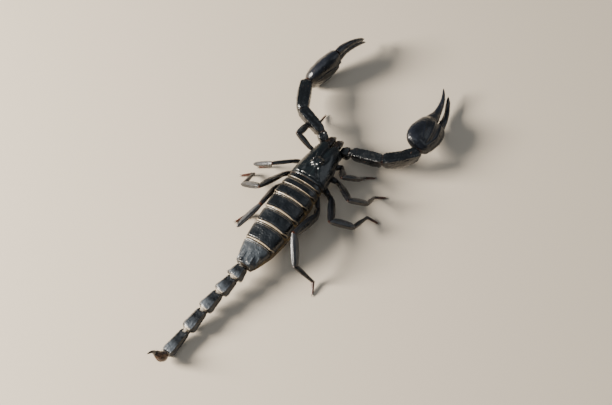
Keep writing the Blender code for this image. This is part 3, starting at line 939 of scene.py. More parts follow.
@dataclass
class Jaws:
    """Two chelicerae with their fixed and movable fingers."""

    stretch: tuple[float, float, float] = (1.15, 1.35, 1.1)
    finger_length: float = 1.9
    finger_path: tuple[tuple[float, float, float], ...] = (
        (0.7, 0.5, 0.0), (1.0, -0.3, 0.0), (0.85, -0.6, -0.2), (0.2, -1.0, -0.5))
    finger_taper: tuple[float, ...] = (1.0, 1.0, 0.7, 0.22)
    outer_finger: float = 0.55
    inner_finger: float = 0.45
    squareness: float = 0.35
    front_bulge: float = 0.25
    crease: float = 0.14
    grain: float = 0.12

    def build(self) -> None:
        """Model both jaws."""
        for side, sign in SIDE_SIGNS.items():
            node = f"chelicera_{side}"
            palm = Piece.from_node(node, growth=0.05, lip=0.2).smooth_out(3)
            low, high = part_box(node)
            middle = (low.x + high.x) / 2.0
            front = (middle, low.y, (low.z + high.z) / 2.0)
            palm.edit(("transform.resize", {"value": self.stretch, "center_override": front}))
            squarer = (palm.normals()[:, 0:3:2] ** 4).sum(axis=1)
            palm.swell(self.squareness, lambda p: 1.0 - squarer)
            palm.swell(self.front_bulge, lambda p: bell(p[:, 1], low.y + 1.0 * MM, 0.7 * MM))
            palm.swell(-self.crease,
                       lambda p: bell(p[:, 0], middle, 0.16 * MM) * ramp(p[:, 2], low.z, high.z))
            palm.roughen("CLOUDS", 0.6, self.grain)
            tip = Vector((middle, low.y + 0.8 * MM, low.z + 0.9 * MM))
            outer = self.finger(tip, sign * 0.6, -0.1, self.outer_finger)
            inner = self.finger(tip, sign * -0.45, 0.1, self.inner_finger)
            jaw = Piece.joined(f"jaw_{side}", [palm, outer, inner])
            jaw.mark("joint", lambda p, y=low.y: 0.85 * ramp(p[:, 1], y + 0.5 * MM, y - 0.7 * MM))
            jaw.settle(f"jaw_{side}", Finishes.JAW, "jaw_cuticle", node)

    def finger(self, root: Vector, spread: float, lift: float, radius: float) -> Piece:
        """Model one jaw finger, hooked inwards and down.

        Args:
            root: the middle of the jaw's front, in metres.
            spread: how far to the side it starts, in mm.
            lift: how much higher than the middle it starts, in mm.
            radius: its radius at the root, in mm.

        Returns:
            The smoothed finger.
        """
        path = [root + Vector((spread * out, ahead * self.finger_length, lift + drop)) * MM
                for out, ahead, drop in self.finger_path]
        radii = [radius * share * MM for share in self.finger_taper]
        return Piece.tube("jaw_finger", path, radii).smooth_out(2)


# ---------------------------------------------------------------- trunk
@dataclass
class BackPlates:
    """Seven tergites with their rear rims, front lines and muscle dents; rims and lines are pale, partly
    their own colour and partly a painted highlight.
    """

    rim: float = 0.13
    groove: float = 0.12
    front_step: float = 0.12
    dent: float = 0.16
    line: float = 0.07
    middle_ridge: float = 0.14
    side_ridge: float = 0.1
    last_keel: float = 0.34
    last_knob: float = 0.5
    last_notch: float = 0.3
    grain: float = 0.14
    corner: float = 0.22
    # rim width on each plate; the wide rims of the middle plates are a painted highlight
    rim_widths: tuple[float, ...] = (0.17, 0.22, 0.46, 0.68, 0.7, 0.58, 0.01)
    loops_before_rear: tuple[float, ...] = (0.25, 0.5, 0.8, 1.15)
    loops_behind_front: tuple[float, ...] = (0.25, 0.55, 0.85, 1.2)
    double_lined_from: float = 3.0

    def build(self) -> None:
        """Model the seven plates."""
        for number in range(1, TERGITES + 1):
            self.build_plate(number)

    def build_plate(self, number: int) -> None:
        """Model one plate.

        Args:
            number: 1 behind the carapace to 7 before the tail.
        """
        node = f"tergite_{number}"
        low, high = (np.array(corner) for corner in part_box(node))
        length = high[1] - low[1]
        half = (high[0] - low[0]) / 2.0
        width = self.rim_widths[number - 1] * MM
        piece = Piece.from_node(node, growth=0.03, lip=0.1)
        stops = [high[1] - back * MM for back in self.loops_before_rear]
        stops += [low[1] + ahead * MM for ahead in self.loops_behind_front]
        piece.cut_loops([(0.0, y, 0.0) for y in stops if low[1] < y < high[1]], (0, 1, 0))
        piece.smooth_out(3)
        upper = (piece.normals()[:, 2] > 0.0).astype(float)
        rest = piece.points()
        across = np.abs(rest[:, 0] - midline(rest[:, 1])) / half
        share = (rest[:, 1] - low[1]) / length
        ahead, behind = rest[:, 1] - low[1], high[1] - rest[:, 1]
        outer = upper * ramp(piece.normals()[:, 1], 0.92, 0.7)
        # the pale rear rim, widened into a painted highlight towards the middle of the plate
        band = width * (1.3 - 0.65 * across)
        rim_and_highlight = ramp(behind, band, 0.6 * band) * outer * (0.6 + 0.4 * ramp(across, 0.95, 0.6))
        front_lines = bell(ahead, 0.12 * MM, 0.09 * MM)
        if length >= self.double_lined_from * MM:
            front_lines = front_lines + bell(ahead, 0.8 * MM, 0.07 * MM)

        piece.swell(self.rim, lambda p: bell(behind, 0.3 * MM, 0.26 * MM) * upper)
        piece.swell(-self.groove, lambda p: bell(behind, width + 0.3 * MM, 0.22 * MM) * upper)
        piece.swell(self.line, lambda p: front_lines * upper)
        if number > 2:
            piece.swell(-self.front_step, lambda p: bell(ahead, 0.5 * MM, 0.25 * MM) * upper)
            piece.swell(-self.dent, lambda p: bell(across, 0.32, 0.1) * bell(share, 0.5, 0.16) * upper)
            piece.swell(self.middle_ridge,
                        lambda p: bell(across, 0.0, 0.06) * bell(share, 0.6, 0.28) * upper)
            piece.swell(self.side_ridge,
                        lambda p: bell(across, 0.8, 0.07) * bell(share, 0.55, 0.3) * upper)
        if number == TERGITES:
            self.raise_last_keels(piece, across, share, upper)
        coarseness = 0.3 + 0.7 * (number / TERGITES)
        piece.roughen("VORONOI", 0.4, self.grain * coarseness,
                      lambda p: ramp(share, 0.3, 0.85) * upper * (0.35 + 0.65 * ramp(across, 0.1, 0.7)))
        # the pale rim carried round the plate's ends, and painted highlight lines along its front
        ends = 0.45 * ramp(across, 0.97, 0.995) * ramp(share, 0.3, 0.6) * outer
        lines = 0.62 * front_lines * ramp(across, 1.0, 0.8) * outer * (number > 1)
        piece.mark("margin", lambda p: np.maximum.reduce([rim_and_highlight, ends, lines]))
        # painted sheen, strongest on the last plate, where it stands for a highlight
        piece.dust(1.0 if number == TERGITES else 0.2 + 0.06 * number)
        self.draw_back_corners(piece, length, across, share)
        finish = Finishes.LAST_PLATE if number == TERGITES else Finishes.PLATE
        piece.settle(f"back_plate_{number}", finish, "black_cuticle", node)

    def draw_back_corners(self, piece: Piece, length: float, across: np.ndarray, share: np.ndarray) -> None:
        """Narrow the plate's ends, so that its front and rear edges curve.

        Args:
            piece: the plate.
            length: its length in metres.
            across: each vertex's distance from the middle line, 1 at the edge.
            share: each vertex's share of the way to the rear.
        """
        reach = self.corner * min(length / MM, 4.5)
        bend = ramp(across, 0.72, 1.0)
        piece.shift((0.0, -reach, 0.0), lambda p: bend * ramp(share, 0.4, 1.0))
        piece.shift((0.0, 0.6 * reach, 0.0), lambda p: bend * ramp(share, 0.6, 0.0))

    def raise_last_keels(self, piece: Piece, across: np.ndarray, share: np.ndarray,
                         upper: np.ndarray) -> None:
        """Raise the two pairs of keels and the rear knobs of the last plate.

        Args:
            piece: the plate.
            across: each vertex's distance from the middle line, 1 at the edge.
            share: each vertex's share of the way to the rear.
            upper: 1 on the plate's upper face.
        """
        for place, begin in ((0.3, 0.45), (0.62, 0.35)):
            keel = bell(across, place, 0.05) * ramp(share, begin, begin + 0.2) * ramp(share, 0.98, 0.9)
            piece.swell(self.last_keel, lambda p, ridge=keel: ridge * upper)
        piece.swell(self.last_knob, lambda p: bell(across, 0.36, 0.12) * bell(share, 0.9, 0.055) * upper)
        piece.swell(-self.last_notch, lambda p: bell(across, 0.0, 0.13) * bell(share, 0.92, 0.07) * upper)


@dataclass
class Trunk:
    """Soft skin of the trunk with its pleated flanks, and the belly plates under it."""

    pleat: float = 0.35
    fold: float = 0.08
    fold_step: float = 0.22
    crumple: float = 0.22
    plate_thickness: float = 0.22
    plate_rise: float = 1.3
    slit_place: float = 3.4
    slit_depth: float = 0.16

    def build(self) -> None:
        """Model the skin, then the belly plates."""
        skin = Piece.from_node("mesosoma", growth=0.05)
        skin.smooth_out(3)
        joints = [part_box(f"tergite_{number}")[1].y for number in range(1, TERGITES)]
        edge = np.mean([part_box(f"tergite_{number}")[0].z for number in range(1, TERGITES + 1)])

        def flank(places: Points) -> np.ndarray:
            """Mask the strip between the back plates and the belly."""
            height = places[:, 2] - edge
            return ramp(height, 0.6 * MM, -0.2 * MM) * ramp(height, -5.5 * MM, -4.0 * MM)

        def pleats(places: Points) -> np.ndarray:
            """Mask a pleat under each joint of the back plates."""
            total = np.zeros(len(places))
            for y in joints:
                total += bell(places[:, 1], y, 0.45 * MM)
            return total * flank(places)

        skin.swell(-self.pleat, pleats)
        skin.swell(self.fold, lambda p: np.sin(p[:, 2] / (self.fold_step * MM)) * flank(p))
        skin.roughen("CLOUDS", 0.7, self.crumple, flank)
        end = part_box("mesosoma")[1].y
        skin.mark("joint", lambda p: np.maximum(0.8 * ramp(p[:, 2], edge - 3.0 * MM, edge - 4.6 * MM),
                                                1.3 * ramp(p[:, 1], end - 1.4 * MM, end - 0.7 * MM)))
        skin.settle("trunk_skin", Finishes.FLANK, "membrane", "mesosoma")
        self.build_belly(joints)

    def build_belly(self, joints: Sequence[float]) -> None:
        """Lay five plates over the belly, with a pair of breathing slits in the first four.

        Args:
            joints: where the back plates meet, which the belly plates follow.
        """
        fronts = [joints[1] + 1.4 * MM, *joints[2:]]
        rears = [*joints[2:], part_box("mesosoma")[1].y - 0.2 * MM]
        for number, (front, rear) in enumerate(zip(fronts, rears), start=3):
            plate = Piece.from_node("mesosoma")
            for y, keep_rear in ((front + 0.25 * MM, True), (rear - 0.1 * MM, False)):
                plate.edit(("mesh.bisect", {"plane_co": (0, y, 0), "plane_no": (0, 1, 0),
                                            "clear_inner": keep_rear, "clear_outer": not keep_rear}))
            bottom = plate.points()[:, 2].min()
            plate.edit(("mesh.bisect", {"plane_co": (0, 0, bottom + self.plate_rise * MM),
                                        "plane_no": (0, 0, 1), "clear_outer": True}))
            plate.modify("SOLIDIFY", thickness=self.plate_thickness * MM, offset=1.0)
            plate.round_sharp_edges(0.08)
            plate.smooth_out(2)
            plate.roughen("VORONOI", 0.6, 0.03)
            if number < TERGITES:
                self.cut_slits(plate, (front + rear) / 2.0)
            plate.mark("joint", lambda p, y=rear: ramp(p[:, 1], y - 0.7 * MM, y - 0.2 * MM))
            plate.settle(f"belly_plate_{number}", Finishes.UNDER, "membrane")

    def cut_slits(self, plate: Piece, y: float) -> None:
        """Press the two breathing slits into a belly plate.

        Args:
            plate: the plate.
            y: where they lie along the body, in metres.
        """
        middle = float(midline(np.array([y]))[0])

        def slits(places: Points) -> np.ndarray:
            """Mask a short line at each side of the middle."""
            aside = np.abs(places[:, 0] - middle)
            return bell(places[:, 1], y, 0.16 * MM) * bell(aside, self.slit_place * MM, 0.7 * MM)

        plate.swell(-self.slit_depth, slits)


@dataclass
class HeadUnderside:
    """Coxae and the core under the carapace, as one hard piece."""

    voxel: float = 0.24
    grain: float = 0.06
    plate_height: float = 0.9
    plate_depth: float = 1.0
    sternum_radius: float = 1.5
    sternum_ahead: float = 6.2
    lid_radius: float = 1.0
    lid_ahead: float = 2.6
    lid_aside: float = 0.95
    lid_stretch: tuple[float, float, float] = (0.92, 1.5, 1.0)

    def build(self) -> None:
        """Model the head end's underside."""
        piece = Piece.from_node("prosoma", growth=0.03)
        piece.modify("REMESH", mode="VOXEL", voxel_size=self.voxel * MM)
        piece.modify("SMOOTH", factor=0.6, iterations=4)
        piece.roughen("VORONOI", 0.5, self.grain)
        centre = node_centre("prosoma")
        piece.mark("joint", lambda p: 0.5 * ramp(np.abs(p[:, 0] - centre[0]), 7.6 * MM, 9.4 * MM))
        # painted sheen on the faces that look up
        piece.dust(0.2)
        piece.settle("head_underside", Finishes.UNDER, "black_cuticle", "prosoma")
        self.build_sternum()

    def build_sternum(self) -> None:
        """Model the five-sided sternum and the paired lid behind it."""
        comb_front = min(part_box(f"pectine_{side}")[0].y for side in SIDES)
        middle = float(midline(np.array([comb_front]))[0])
        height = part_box("prosoma")[0].z + self.plate_height * MM
        sternum = Piece.primitive("sternum", "cylinder", vertices=5, radius=self.sternum_radius * MM,
                                  depth=self.plate_depth * MM,
                                  location=(middle, comb_front - self.sternum_ahead * MM, height))
        sternum.round_sharp_edges(0.25)
        sternum.smooth_out(2)
        sternum.settle("sternum_plate", Finishes.UNDER, "black_cuticle")
        lids = []
        for sign in (-1.0, 1.0):
            spot = (middle + sign * self.lid_aside * MM, comb_front - self.lid_ahead * MM, height)
            lid = Piece.primitive("lid", "cylinder", vertices=16, radius=self.lid_radius * MM,
                                  depth=self.plate_depth * MM, location=spot)
            lid.edit(("transform.resize", {"value": self.lid_stretch, "center_override": spot}))
            lid.round_sharp_edges(0.3)
            lids.append(lid.smooth_out(1))
        Piece.joined("genital_lids", lids).settle("genital_lids", Finishes.UNDER, "black_cuticle")


@dataclass
class Combs:
    """Two pectines, each a bar with a row of teeth along its rear edge."""

    teeth: int = 16
    tooth_length: float = 1.1
    tooth_radii: tuple[float, ...] = (0.13, 0.17, 0.1)
    tooth_stations: tuple[float, ...] = (0.0, 0.6, 1.3)

    def build(self) -> None:
        """Model both combs."""
        for side, sign in SIDE_SIGNS.items():
            node = f"pectine_{side}"
            bar = Piece.from_node(node, growth=0.04, lip=0.1).smooth_out(2)
            points = node_points(node)
            inner = points[np.argmin(points[:, 0] * sign)]
            outer = points[np.argmax(points[:, 0] * sign)]
            parts = [bar]
            run = Vector(outer - inner)
            back = Vector((-run.y, run.x, 0.0)).normalized() * sign
            for index in range(self.teeth):
                root = Vector(inner) + run * ((index + 1.2) / (self.teeth + 1.5))
                root.z = points[:, 2].mean()
                path = [root + back * reach * self.tooth_length * MM for reach in self.tooth_stations]
                radii = [radius * MM for radius in self.tooth_radii]
                parts.append(Piece.tube("tooth", path, radii, sides=6))
            Piece.joined(f"comb_{side}", parts).settle(f"comb_{side}", Finishes.COMB, "pectine", node)


# ---------------------------------------------------------------- limbs
class Limb:
    """The straight line through one length of a limb, read from its CAD node."""

    def __init__(self, node: str, towards: np.ndarray, hinge: np.ndarray | None = None,
                 up: np.ndarray | None = None) -> None:
        """Fit the line.

        Args:
            node: the CAD node.
            towards: a point beyond the limb's far end, which tells the ends apart.
            hinge: the axis about which the limb bends, if its broad faces look that way.
            up: where its back looks, if that isn't upwards.
        """
        self.node = node
        points = node_points(node)
        self.centre = points.mean(axis=0)
        _, _, axes = np.linalg.svd(points - self.centre)
        self.direction = axes[0] * np.sign(axes[0] @ (towards - self.centre))
        run = (points - self.centre) @ self.direction
        self.start, self.end = run.min(), run.max()
        self.base, self.base_radius = self.cap(points, run, -1.0)
        self.tip, self.tip_radius = self.cap(points, run, 1.0)
        back = UP if up is None else up
        if hinge is not None:
            back = np.cross(hinge, self.direction)
            back = back * np.sign(back[2])
        back = back - self.direction * (back @ self.direction)
        self.up = back / np.linalg.norm(back)
        self.side = np.cross(self.direction, self.up)

    def cap(self, points: Points, run: np.ndarray, sign: float) -> tuple[np.ndarray, float]:
        """Measure one end.

        Args:
            points: the limb's corner points.
            run: how far along the limb each lies.
            sign: 1 for the far end, -1 for the near one.

        Returns:
            The middle and the mean radius of the points nearest that end.
        """
        reach = (run * sign).max()
        near = points[run * sign > reach - 0.13 * (self.end - self.start)]
        middle = near.mean(axis=0)
        out = near - middle
        out = out - np.outer(out @ self.direction, self.direction)
        return middle, float(np.linalg.norm(out, axis=1).mean())

    def share(self, places: Points) -> np.ndarray:
        """Give each place's share of the way from base to tip."""
        return ((places - self.centre) @ self.direction - self.start) / (self.end - self.start)

    def angle(self, places: Points) -> np.ndarray:
        """Give each place's angle around the limb, 0 on top and positive towards its side."""
        out = places - self.centre
        return np.arctan2(out @ self.side, out @ self.up)

    def middle_part(self, places: Points) -> np.ndarray:
        """Give 1 along the limb's length and 0 at its ends."""
        share = self.share(places)
        return ramp(share, 0.02, 0.16) * ramp(share, 0.99, 0.9)

    def keels(self, angles: Sequence[float], width: float = 0.13) -> Mask:
        """Make a mask of ridges that run along the limb.

        Args:
            angles: where they lie around the limb, in degrees.
            width: how broad each is, in radians.

        Returns:
            The mask.
        """
        def height(places: Points) -> np.ndarray:
            """Give the ridges' height, which fades towards the limb's ends.

            Args:
                places: where the height is wanted.

            Returns:
                The height at each place, from 0 to 1.
            """
            around = self.angle(places)
            total = np.zeros(len(places))
            for angle in angles:
                apart = np.angle(np.exp(1j * (around - math.radians(angle))))
                total += bell(apart, 0.0, width)
            return total * self.middle_part(places)

        return height

    def flats(self, places: Points) -> np.ndarray:
        """Make a mask that turns a round limb four-sided: 1 at its corners, -1 between them."""
        return -np.cos(4.0 * self.angle(places)) * self.middle_part(places)


def joint_skin(nearer: Limb, farther: Limb, size: float) -> Piece:
    """Make the folded ball of soft skin in the gap between two lengths of a limb.

    Args:
        nearer: the length before the joint.
        farther: the length behind it.
        size: the ball's radius as a share of the thinner end's.

    Returns:
        The ball.
    """
    centre = Vector((nearer.tip + farther.base) / 2.0)
    radius = min(nearer.tip_radius, farther.base_radius) * size
    turn = Vector(nearer.direction + farther.direction).to_track_quat("Z", "Y")
    ball = Piece.primitive("skin", "uv_sphere", segments=24, ring_count=16, radius=radius,
                           location=centre, rotation=turn.to_euler())
    return ball.roughen("CLOUDS", 0.5, 0.12)


def joint_knobs(nearer: Limb, farther: Limb) -> list[Piece]:
    """Make the pair of hard knobs on which a limb hinges, one at each side.

    Args:
        nearer: the length before the joint.
        farther: the length behind it.

    Returns:
        The two knobs.
    """
    centre = (nearer.tip + farther.base) / 2.0
    radius = min(nearer.tip_radius, farther.base_radius)
    knobs = []
    for sign in (-1.0, 1.0):
        spot = Vector(centre + nearer.side * sign * radius * KNOB_ASIDE)
        knob = Piece.primitive("knob", "ico_sphere", subdivisions=3, radius=radius * KNOB_SIZE,
                               location=spot)
        turn = Vector(nearer.direction).to_track_quat("Z", "Y").to_matrix().to_4x4()
        knob.edit(("transform.resize", {"value": (1.0, 1.0, KNOB_STRETCH), "orient_matrix": turn.to_3x3(),
                                        "orient_matrix_type": "LOCAL", "orient_type": "LOCAL",
                                        "center_override": spot}))
        knobs.append(knob.roughen("CLOUDS", 0.6, 0.1))
    return knobs


@dataclass
class Bristles:
    """Fine reddish setae, each a thin bent spike, that stand on the limbs and the telson."""

    radii: tuple[float, ...] = (0.045, 0.036, 0.0225, 0.006)
    bend: tuple[tuple[float, float], ...] = ((0.0, 0.0), (0.02, 0.4), (0.09, 0.75), (0.2, 1.0))
    forward: float = 0.7
    disorder: float = 0.25
    depth: float = 0.05
    patch: float = 0.003
    charts: int = 7
    headroom: float = 0.9
    seed: int = 11
    roots: dict[str, list[tuple[np.ndarray, np.ndarray, float, tuple[float, float]]]] = field(
        default_factory=dict)

    def __post_init__(self) -> None:
        """Start the row of random numbers."""
        self.random = np.random.default_rng(self.seed)

    def plant(self, stem: str, piece: Piece, limb: Limb, count: int, length: float,
              mask: Mask | None = None) -> None:
        """Choose roots on a finished surface.

        Args:
            stem: name of the group that the bristles join.
            piece: what they stand on.
            limb: the line that the surface follows.
            count: how many there are.
            length: their mean length in mm.
            mask: where they may stand, or None for everywhere.
        """
        places, normals = piece.points(), piece.normals()
        share = limb.share(places)
        middle = (share > 0.04) & (share < 0.94) & (places[:, 2] < CAD_BOX[1][2] - self.headroom * MM)
        allowed = np.flatnonzero(middle & (mask(places) > 0.5) if mask else middle)
        if not len(allowed):
            return
        chosen = self.random.choice(allowed, size=min(count, len(allowed)), replace=False)
        group = self.roots.setdefault(stem, [])
        chart = sum(map(len, self.roots.values())) % self.charts
        for index in chosen:
            lean = normals[index] + self.forward * limb.direction
            lean = lean + self.disorder * self.random.normal(size=3)
            around = limb.angle(places[index][None])[0] / (2.0 * math.pi) + 0.5
            spot = (0.02 + 0.13 * chart + 0.12 * around, 0.02 + 0.95 * share[index])
            size = length * float(self.random.uniform(0.6, 1.25))
            root = places[index] - self.depth * MM * normals[index]
            group.append((root, lean / np.linalg.norm(lean), size, spot))

    def build(self) -> None:
        """Grow every planted group as one piece."""
        pattern = self.model_one()
        for stem, group in self.roots.items():
            copies = [self.copy(pattern, index, *root) for index, root in enumerate(group)]
            piece = Piece.joined(f"{stem}_bristles", copies)
            piece.settle(f"{stem}_bristles", Finishes.BRISTLE, "leg_cuticle")
        bpy.data.objects.remove(pattern.item)

    def model_one(self) -> Piece:
        """Model one bristle of unit length along Z, a three-sided spike that bends forward.

        Returns:
            The bristle, unwrapped along its length.
        """
        path = [Vector((ahead, 0.0, up)) for ahead, up in self.bend]
        spike = Piece.tube("bristle", path, self.radii, 3)
        layer = spike.item.data.uv_layers.new(name="OFBake")
        for loop in spike.item.data.loops:
            place = spike.item.data.vertices[loop.vertex_index].co
            layer.data[loop.index].uv = (place.x + place.y, place.z)
        return spike

    def copy(self, pattern: Piece, index: int, root: np.ndarray, lean: np.ndarray, length: float,
             spot: tuple[float, float]) -> Piece:
        """Copy the bristle to a root.

        Args:
            pattern: the bristle that was modelled.
            index: its number in the group.
            root: where it stands, in metres.
            lean: where it points.
            length: its length in mm.
            spot: its root's place on the unwrap.

        Returns:
            The copy, with its place in its own mesh.
        """
        item = bpy.data.objects.new(f"bristle_{index}", pattern.item.data.copy())
        bpy.context.scene.collection.objects.link(item)
        turn = Vector(lean).to_track_quat("Z", "Y").to_matrix().to_4x4()
        item.data.transform(Matrix.Translation(Vector(root)) @ turn @ Matrix.Scale(length * MM, 4))
        for corner in item.data.uv_layers["OFBake"].data:
            corner.uv = (spot[0] + corner.uv[0] * self.patch, spot[1] + corner.uv[1] * self.patch)
        return Piece(item)


@dataclass
class Legs:
    """Eight walking legs with their joint skins and claws."""

    claw_length: float = 1.0
    claw_radius: float = 0.13
    claw_path: tuple[tuple[float, float, float], ...] = (
        (-0.3, 0.1, 0.0), (0.25, 0.24, 0.12), (0.65, 0.36, 0.1), (1.0, 0.34, -0.12))
    claw_taper: tuple[float, ...] = (1.0, 0.85, 0.55, 0.15)
    shank_bulge: float = 0.15
    keel: float = 0.13
    keel_angles: tuple[float, ...] = (-24.0, 24.0, 156.0, -156.0)
    flat: float = 0.1
    flat_angles: tuple[float, ...] = (0.0, 90.0, -90.0, 180.0)
    grain: float = 0.07
    growth: float = 0.05
    skin_size: float = 0.8
    bristles_each: int = 14
    shin_bristles: int = 34

    def build(self, bristles: Bristles) -> None:
        """Model all eight legs."""
        for side in SIDES:
            for number in LEG_NUMBERS:
                self.build_leg(f"leg_{side}_{number}", bristles)

    def build_leg(self, stem: str, bristles: Bristles) -> None:
        """Model one leg.

        Args:
            stem: what the names of the leg's nodes begin with.
            bristles: where its bristles are planted.
        """
        centres = [node_centre(f"{stem}_{part}") for part in ("femur", "patella", "tibia")]
        hinge = np.cross(centres[1] - centres[0], centres[2] - centres[1])
        hinge = hinge / np.linalg.norm(hinge)
        femur = Limb(f"{stem}_femur", centres[1], hinge)
        patella = Limb(f"{stem}_patella", centres[2], hinge)
        for limb in (femur, patella):
            piece = Piece.from_node(limb.node, growth=self.growth, lip=0.1).smooth_out(3)
            piece.swell(self.keel, limb.keels(self.keel_angles, 0.1))
            piece.swell(-self.flat, limb.keels(self.flat_angles, 0.3))
            piece.roughen("VORONOI", 0.32, self.grain)
            piece.mark("joint", lambda p, at=limb: 0.9 * np.maximum(ramp(at.share(p), 0.05, 0.0),
                                                                    ramp(at.share(p), 0.95, 1.0)))
            if limb is patella:
                piece.swell(self.shank_bulge, limb.middle_part)
            # painted sheen on the faces that look up
            piece.dust(1.0)
            # patellae take the finish with the strongest painted sheen, so that they look lit
            finish = Finishes.SHEENED_SHANK if limb is patella else Finishes.LEG
            piece.settle(limb.node + "_shell", finish, "leg_cuticle", limb.node)
            bristles.plant(stem, piece, limb, self.bristles_each, 0.7)
        tibia = self.build_shin(stem, centres, hinge, bristles)
        skins = [joint_skin(femur, patella, self.skin_size), joint_skin(patella, tibia, self.skin_size)]
        Piece.joined(f"{stem}_skins", skins).settle(f"{stem}_joint_skins", Finishes.JOINT, "membrane")

    def build_shin(self, stem: str, centres: Sequence[np.ndarray], hinge: np.ndarray,
                   bristles: Bristles) -> Limb:
        """Model the tibia with the tarsus and the two claws.

        Args:
            stem: what the names of the leg's nodes begin with.
            centres: the middles of femur, patella and tibia.
            hinge: the axis about which the leg bends.
            bristles: where its bristles are planted.

        Returns:
            The tibia's line.
        """
        limb = Limb(f"{stem}_tibia", 2.0 * centres[2] - centres[1], hinge)
        foot = node_points(limb.node)
        low, high = foot[:, 2].min(), foot[:, 2].max()
        tarsus = foot[foot[:, 2] < low + 0.28 * (high - low)]
        toe = foot[foot[:, 2] < low + 0.75 * MM]
        heading = toe.mean(axis=0) - tarsus.mean(axis=0)
        reach = (toe - toe.mean(axis=0)) @ heading
        tip = Vector(toe[reach > np.quantile(reach, 0.6)].mean(axis=0))
        piece = Piece.from_node(limb.node, growth=self.growth, lip=0.08).smooth_out(3)
        piece.roughen("VORONOI", 0.3, 0.05)
        piece.mark("joint",
                   lambda p: 0.95 * ramp(p[:, 2], low + 0.36 * (high - low), low + 0.16 * (high - low)))
        # painted sheen on the faces that look up
        piece.dust(0.7)
        piece.settle(limb.node + "_shell", Finishes.LEG, "leg_cuticle", limb.node)
        bristles.plant(stem, piece, limb, self.shin_bristles, 0.75,
                       lambda p: (p[:, 2] > low + 0.3 * MM).astype(float))
        self.build_claws(stem, tip, heading)
        return limb

    def build_claws(self, stem: str, tip: Vector, heading: np.ndarray) -> None:
        """Model the two claws at a foot.

        Args:
            stem: what the names of the leg's nodes begin with.
            tip: where they grow from.
            heading: which way the foot points.
        """
        ahead = Vector((heading[0], heading[1], 0.0)).normalized()
        aside = Vector((-ahead.y, ahead.x, 0.0))
        claws = []
        for sign in (-1.0, 1.0):
            path = [tip + (ahead * run + aside * sign * out) * self.claw_length * MM
                    + Vector((0, 0, rise * MM)) for run, out, rise in self.claw_path]
            radii = [self.claw_radius * share * MM for share in self.claw_taper]
            claws.append(Piece.tube("claw", path, radii, 8).smooth_out(1))
        pair = Piece.joined(f"{stem}_claws", claws)
        pair.shift((0.0, 0.0, 1.0), lambda p: np.maximum(0.02 * MM - p[:, 2], 0.0) / MM)
        pair.settle(f"{stem}_claws", Finishes.TOOTH, "leg_cuticle")


@dataclass
class PincerArms:
    """Two pedipalps: granular arms, swollen hands and toothed fingers."""

    growth: float = 0.06
    bulge: float = 0.25
    corner: float = 0.2
    keel: float = 0.3
    keel_angles: tuple[float, ...] = (-45.0, 45.0, 135.0, -135.0)
    grain: float = 0.34
    skin_size: float = 0.78
    bristles_each: int = 22

    def build(self, bristles: Bristles) -> None:
        """Model both arms."""
        for side in SIDES:
            self.build_arm(side, bristles)

    def build_arm(self, side: str, bristles: Bristles) -> None:
        """Model one arm, from trochanter to fingers.

        Args:
            side: "left" or "right".
            bristles: where its bristles are planted.
        """
        stem = f"palp_{side}"
        order = ("trochanter", "femur", "patella", "hand")
        centres = [node_centre(f"{stem}_{part}") for part in order]
        limbs = [Limb(f"{stem}_{part}", after) for part, after in zip(order, centres[1:])]
        for limb in limbs:
            levels = 3 if limb is limbs[0] else 4
            piece = Piece.from_node(limb.node, growth=self.growth, lip=0.25).smooth_out(levels)
            piece.swell(self.bulge, limb.middle_part)
            piece.swell(self.corner, limb.flats)
            ridges = limb.keels(self.keel_angles, 0.09)
            piece.swell(self.keel, lambda p, ridge=ridges, at=limb:
                        ridge(p) * (0.85 + 0.15 * np.sin(at.share(p) * 80.0)))
            piece.roughen("VORONOI", 0.75, self.grain, lambda p, ridge=ridges: 0.45 + 0.55 * ridge(p))
            piece.mark("joint", lambda p, at=limb: np.maximum(ramp(at.share(p), 0.03, 0.0),
                                                              ramp(at.share(p), 0.97, 1.0)))
            # painted sheen on the faces that look up
            piece.dust(0.6)
            piece.settle(limb.node + "_shell", Finishes.ARM, "black_cuticle", limb.node)
            bristles.plant(stem, piece, limb, self.bristles_each, 1.0)
        hand = Hand(side)
        joints = list(zip(limbs, [*limbs[1:], hand.limb]))
        skins = [joint_skin(near, far, self.skin_size) for near, far in joints]
        Piece.joined(f"{stem}_skins", skins).settle(f"{stem}_joint_skins", Finishes.JOINT, "membrane")
        knobs = [knob for near, far in joints for knob in joint_knobs(near, far)]
        Piece.joined(f"{stem}_knobs", knobs).settle(f"{stem}_joint_knobs", Finishes.ARM, "black_cuticle")
        hand.build(bristles)


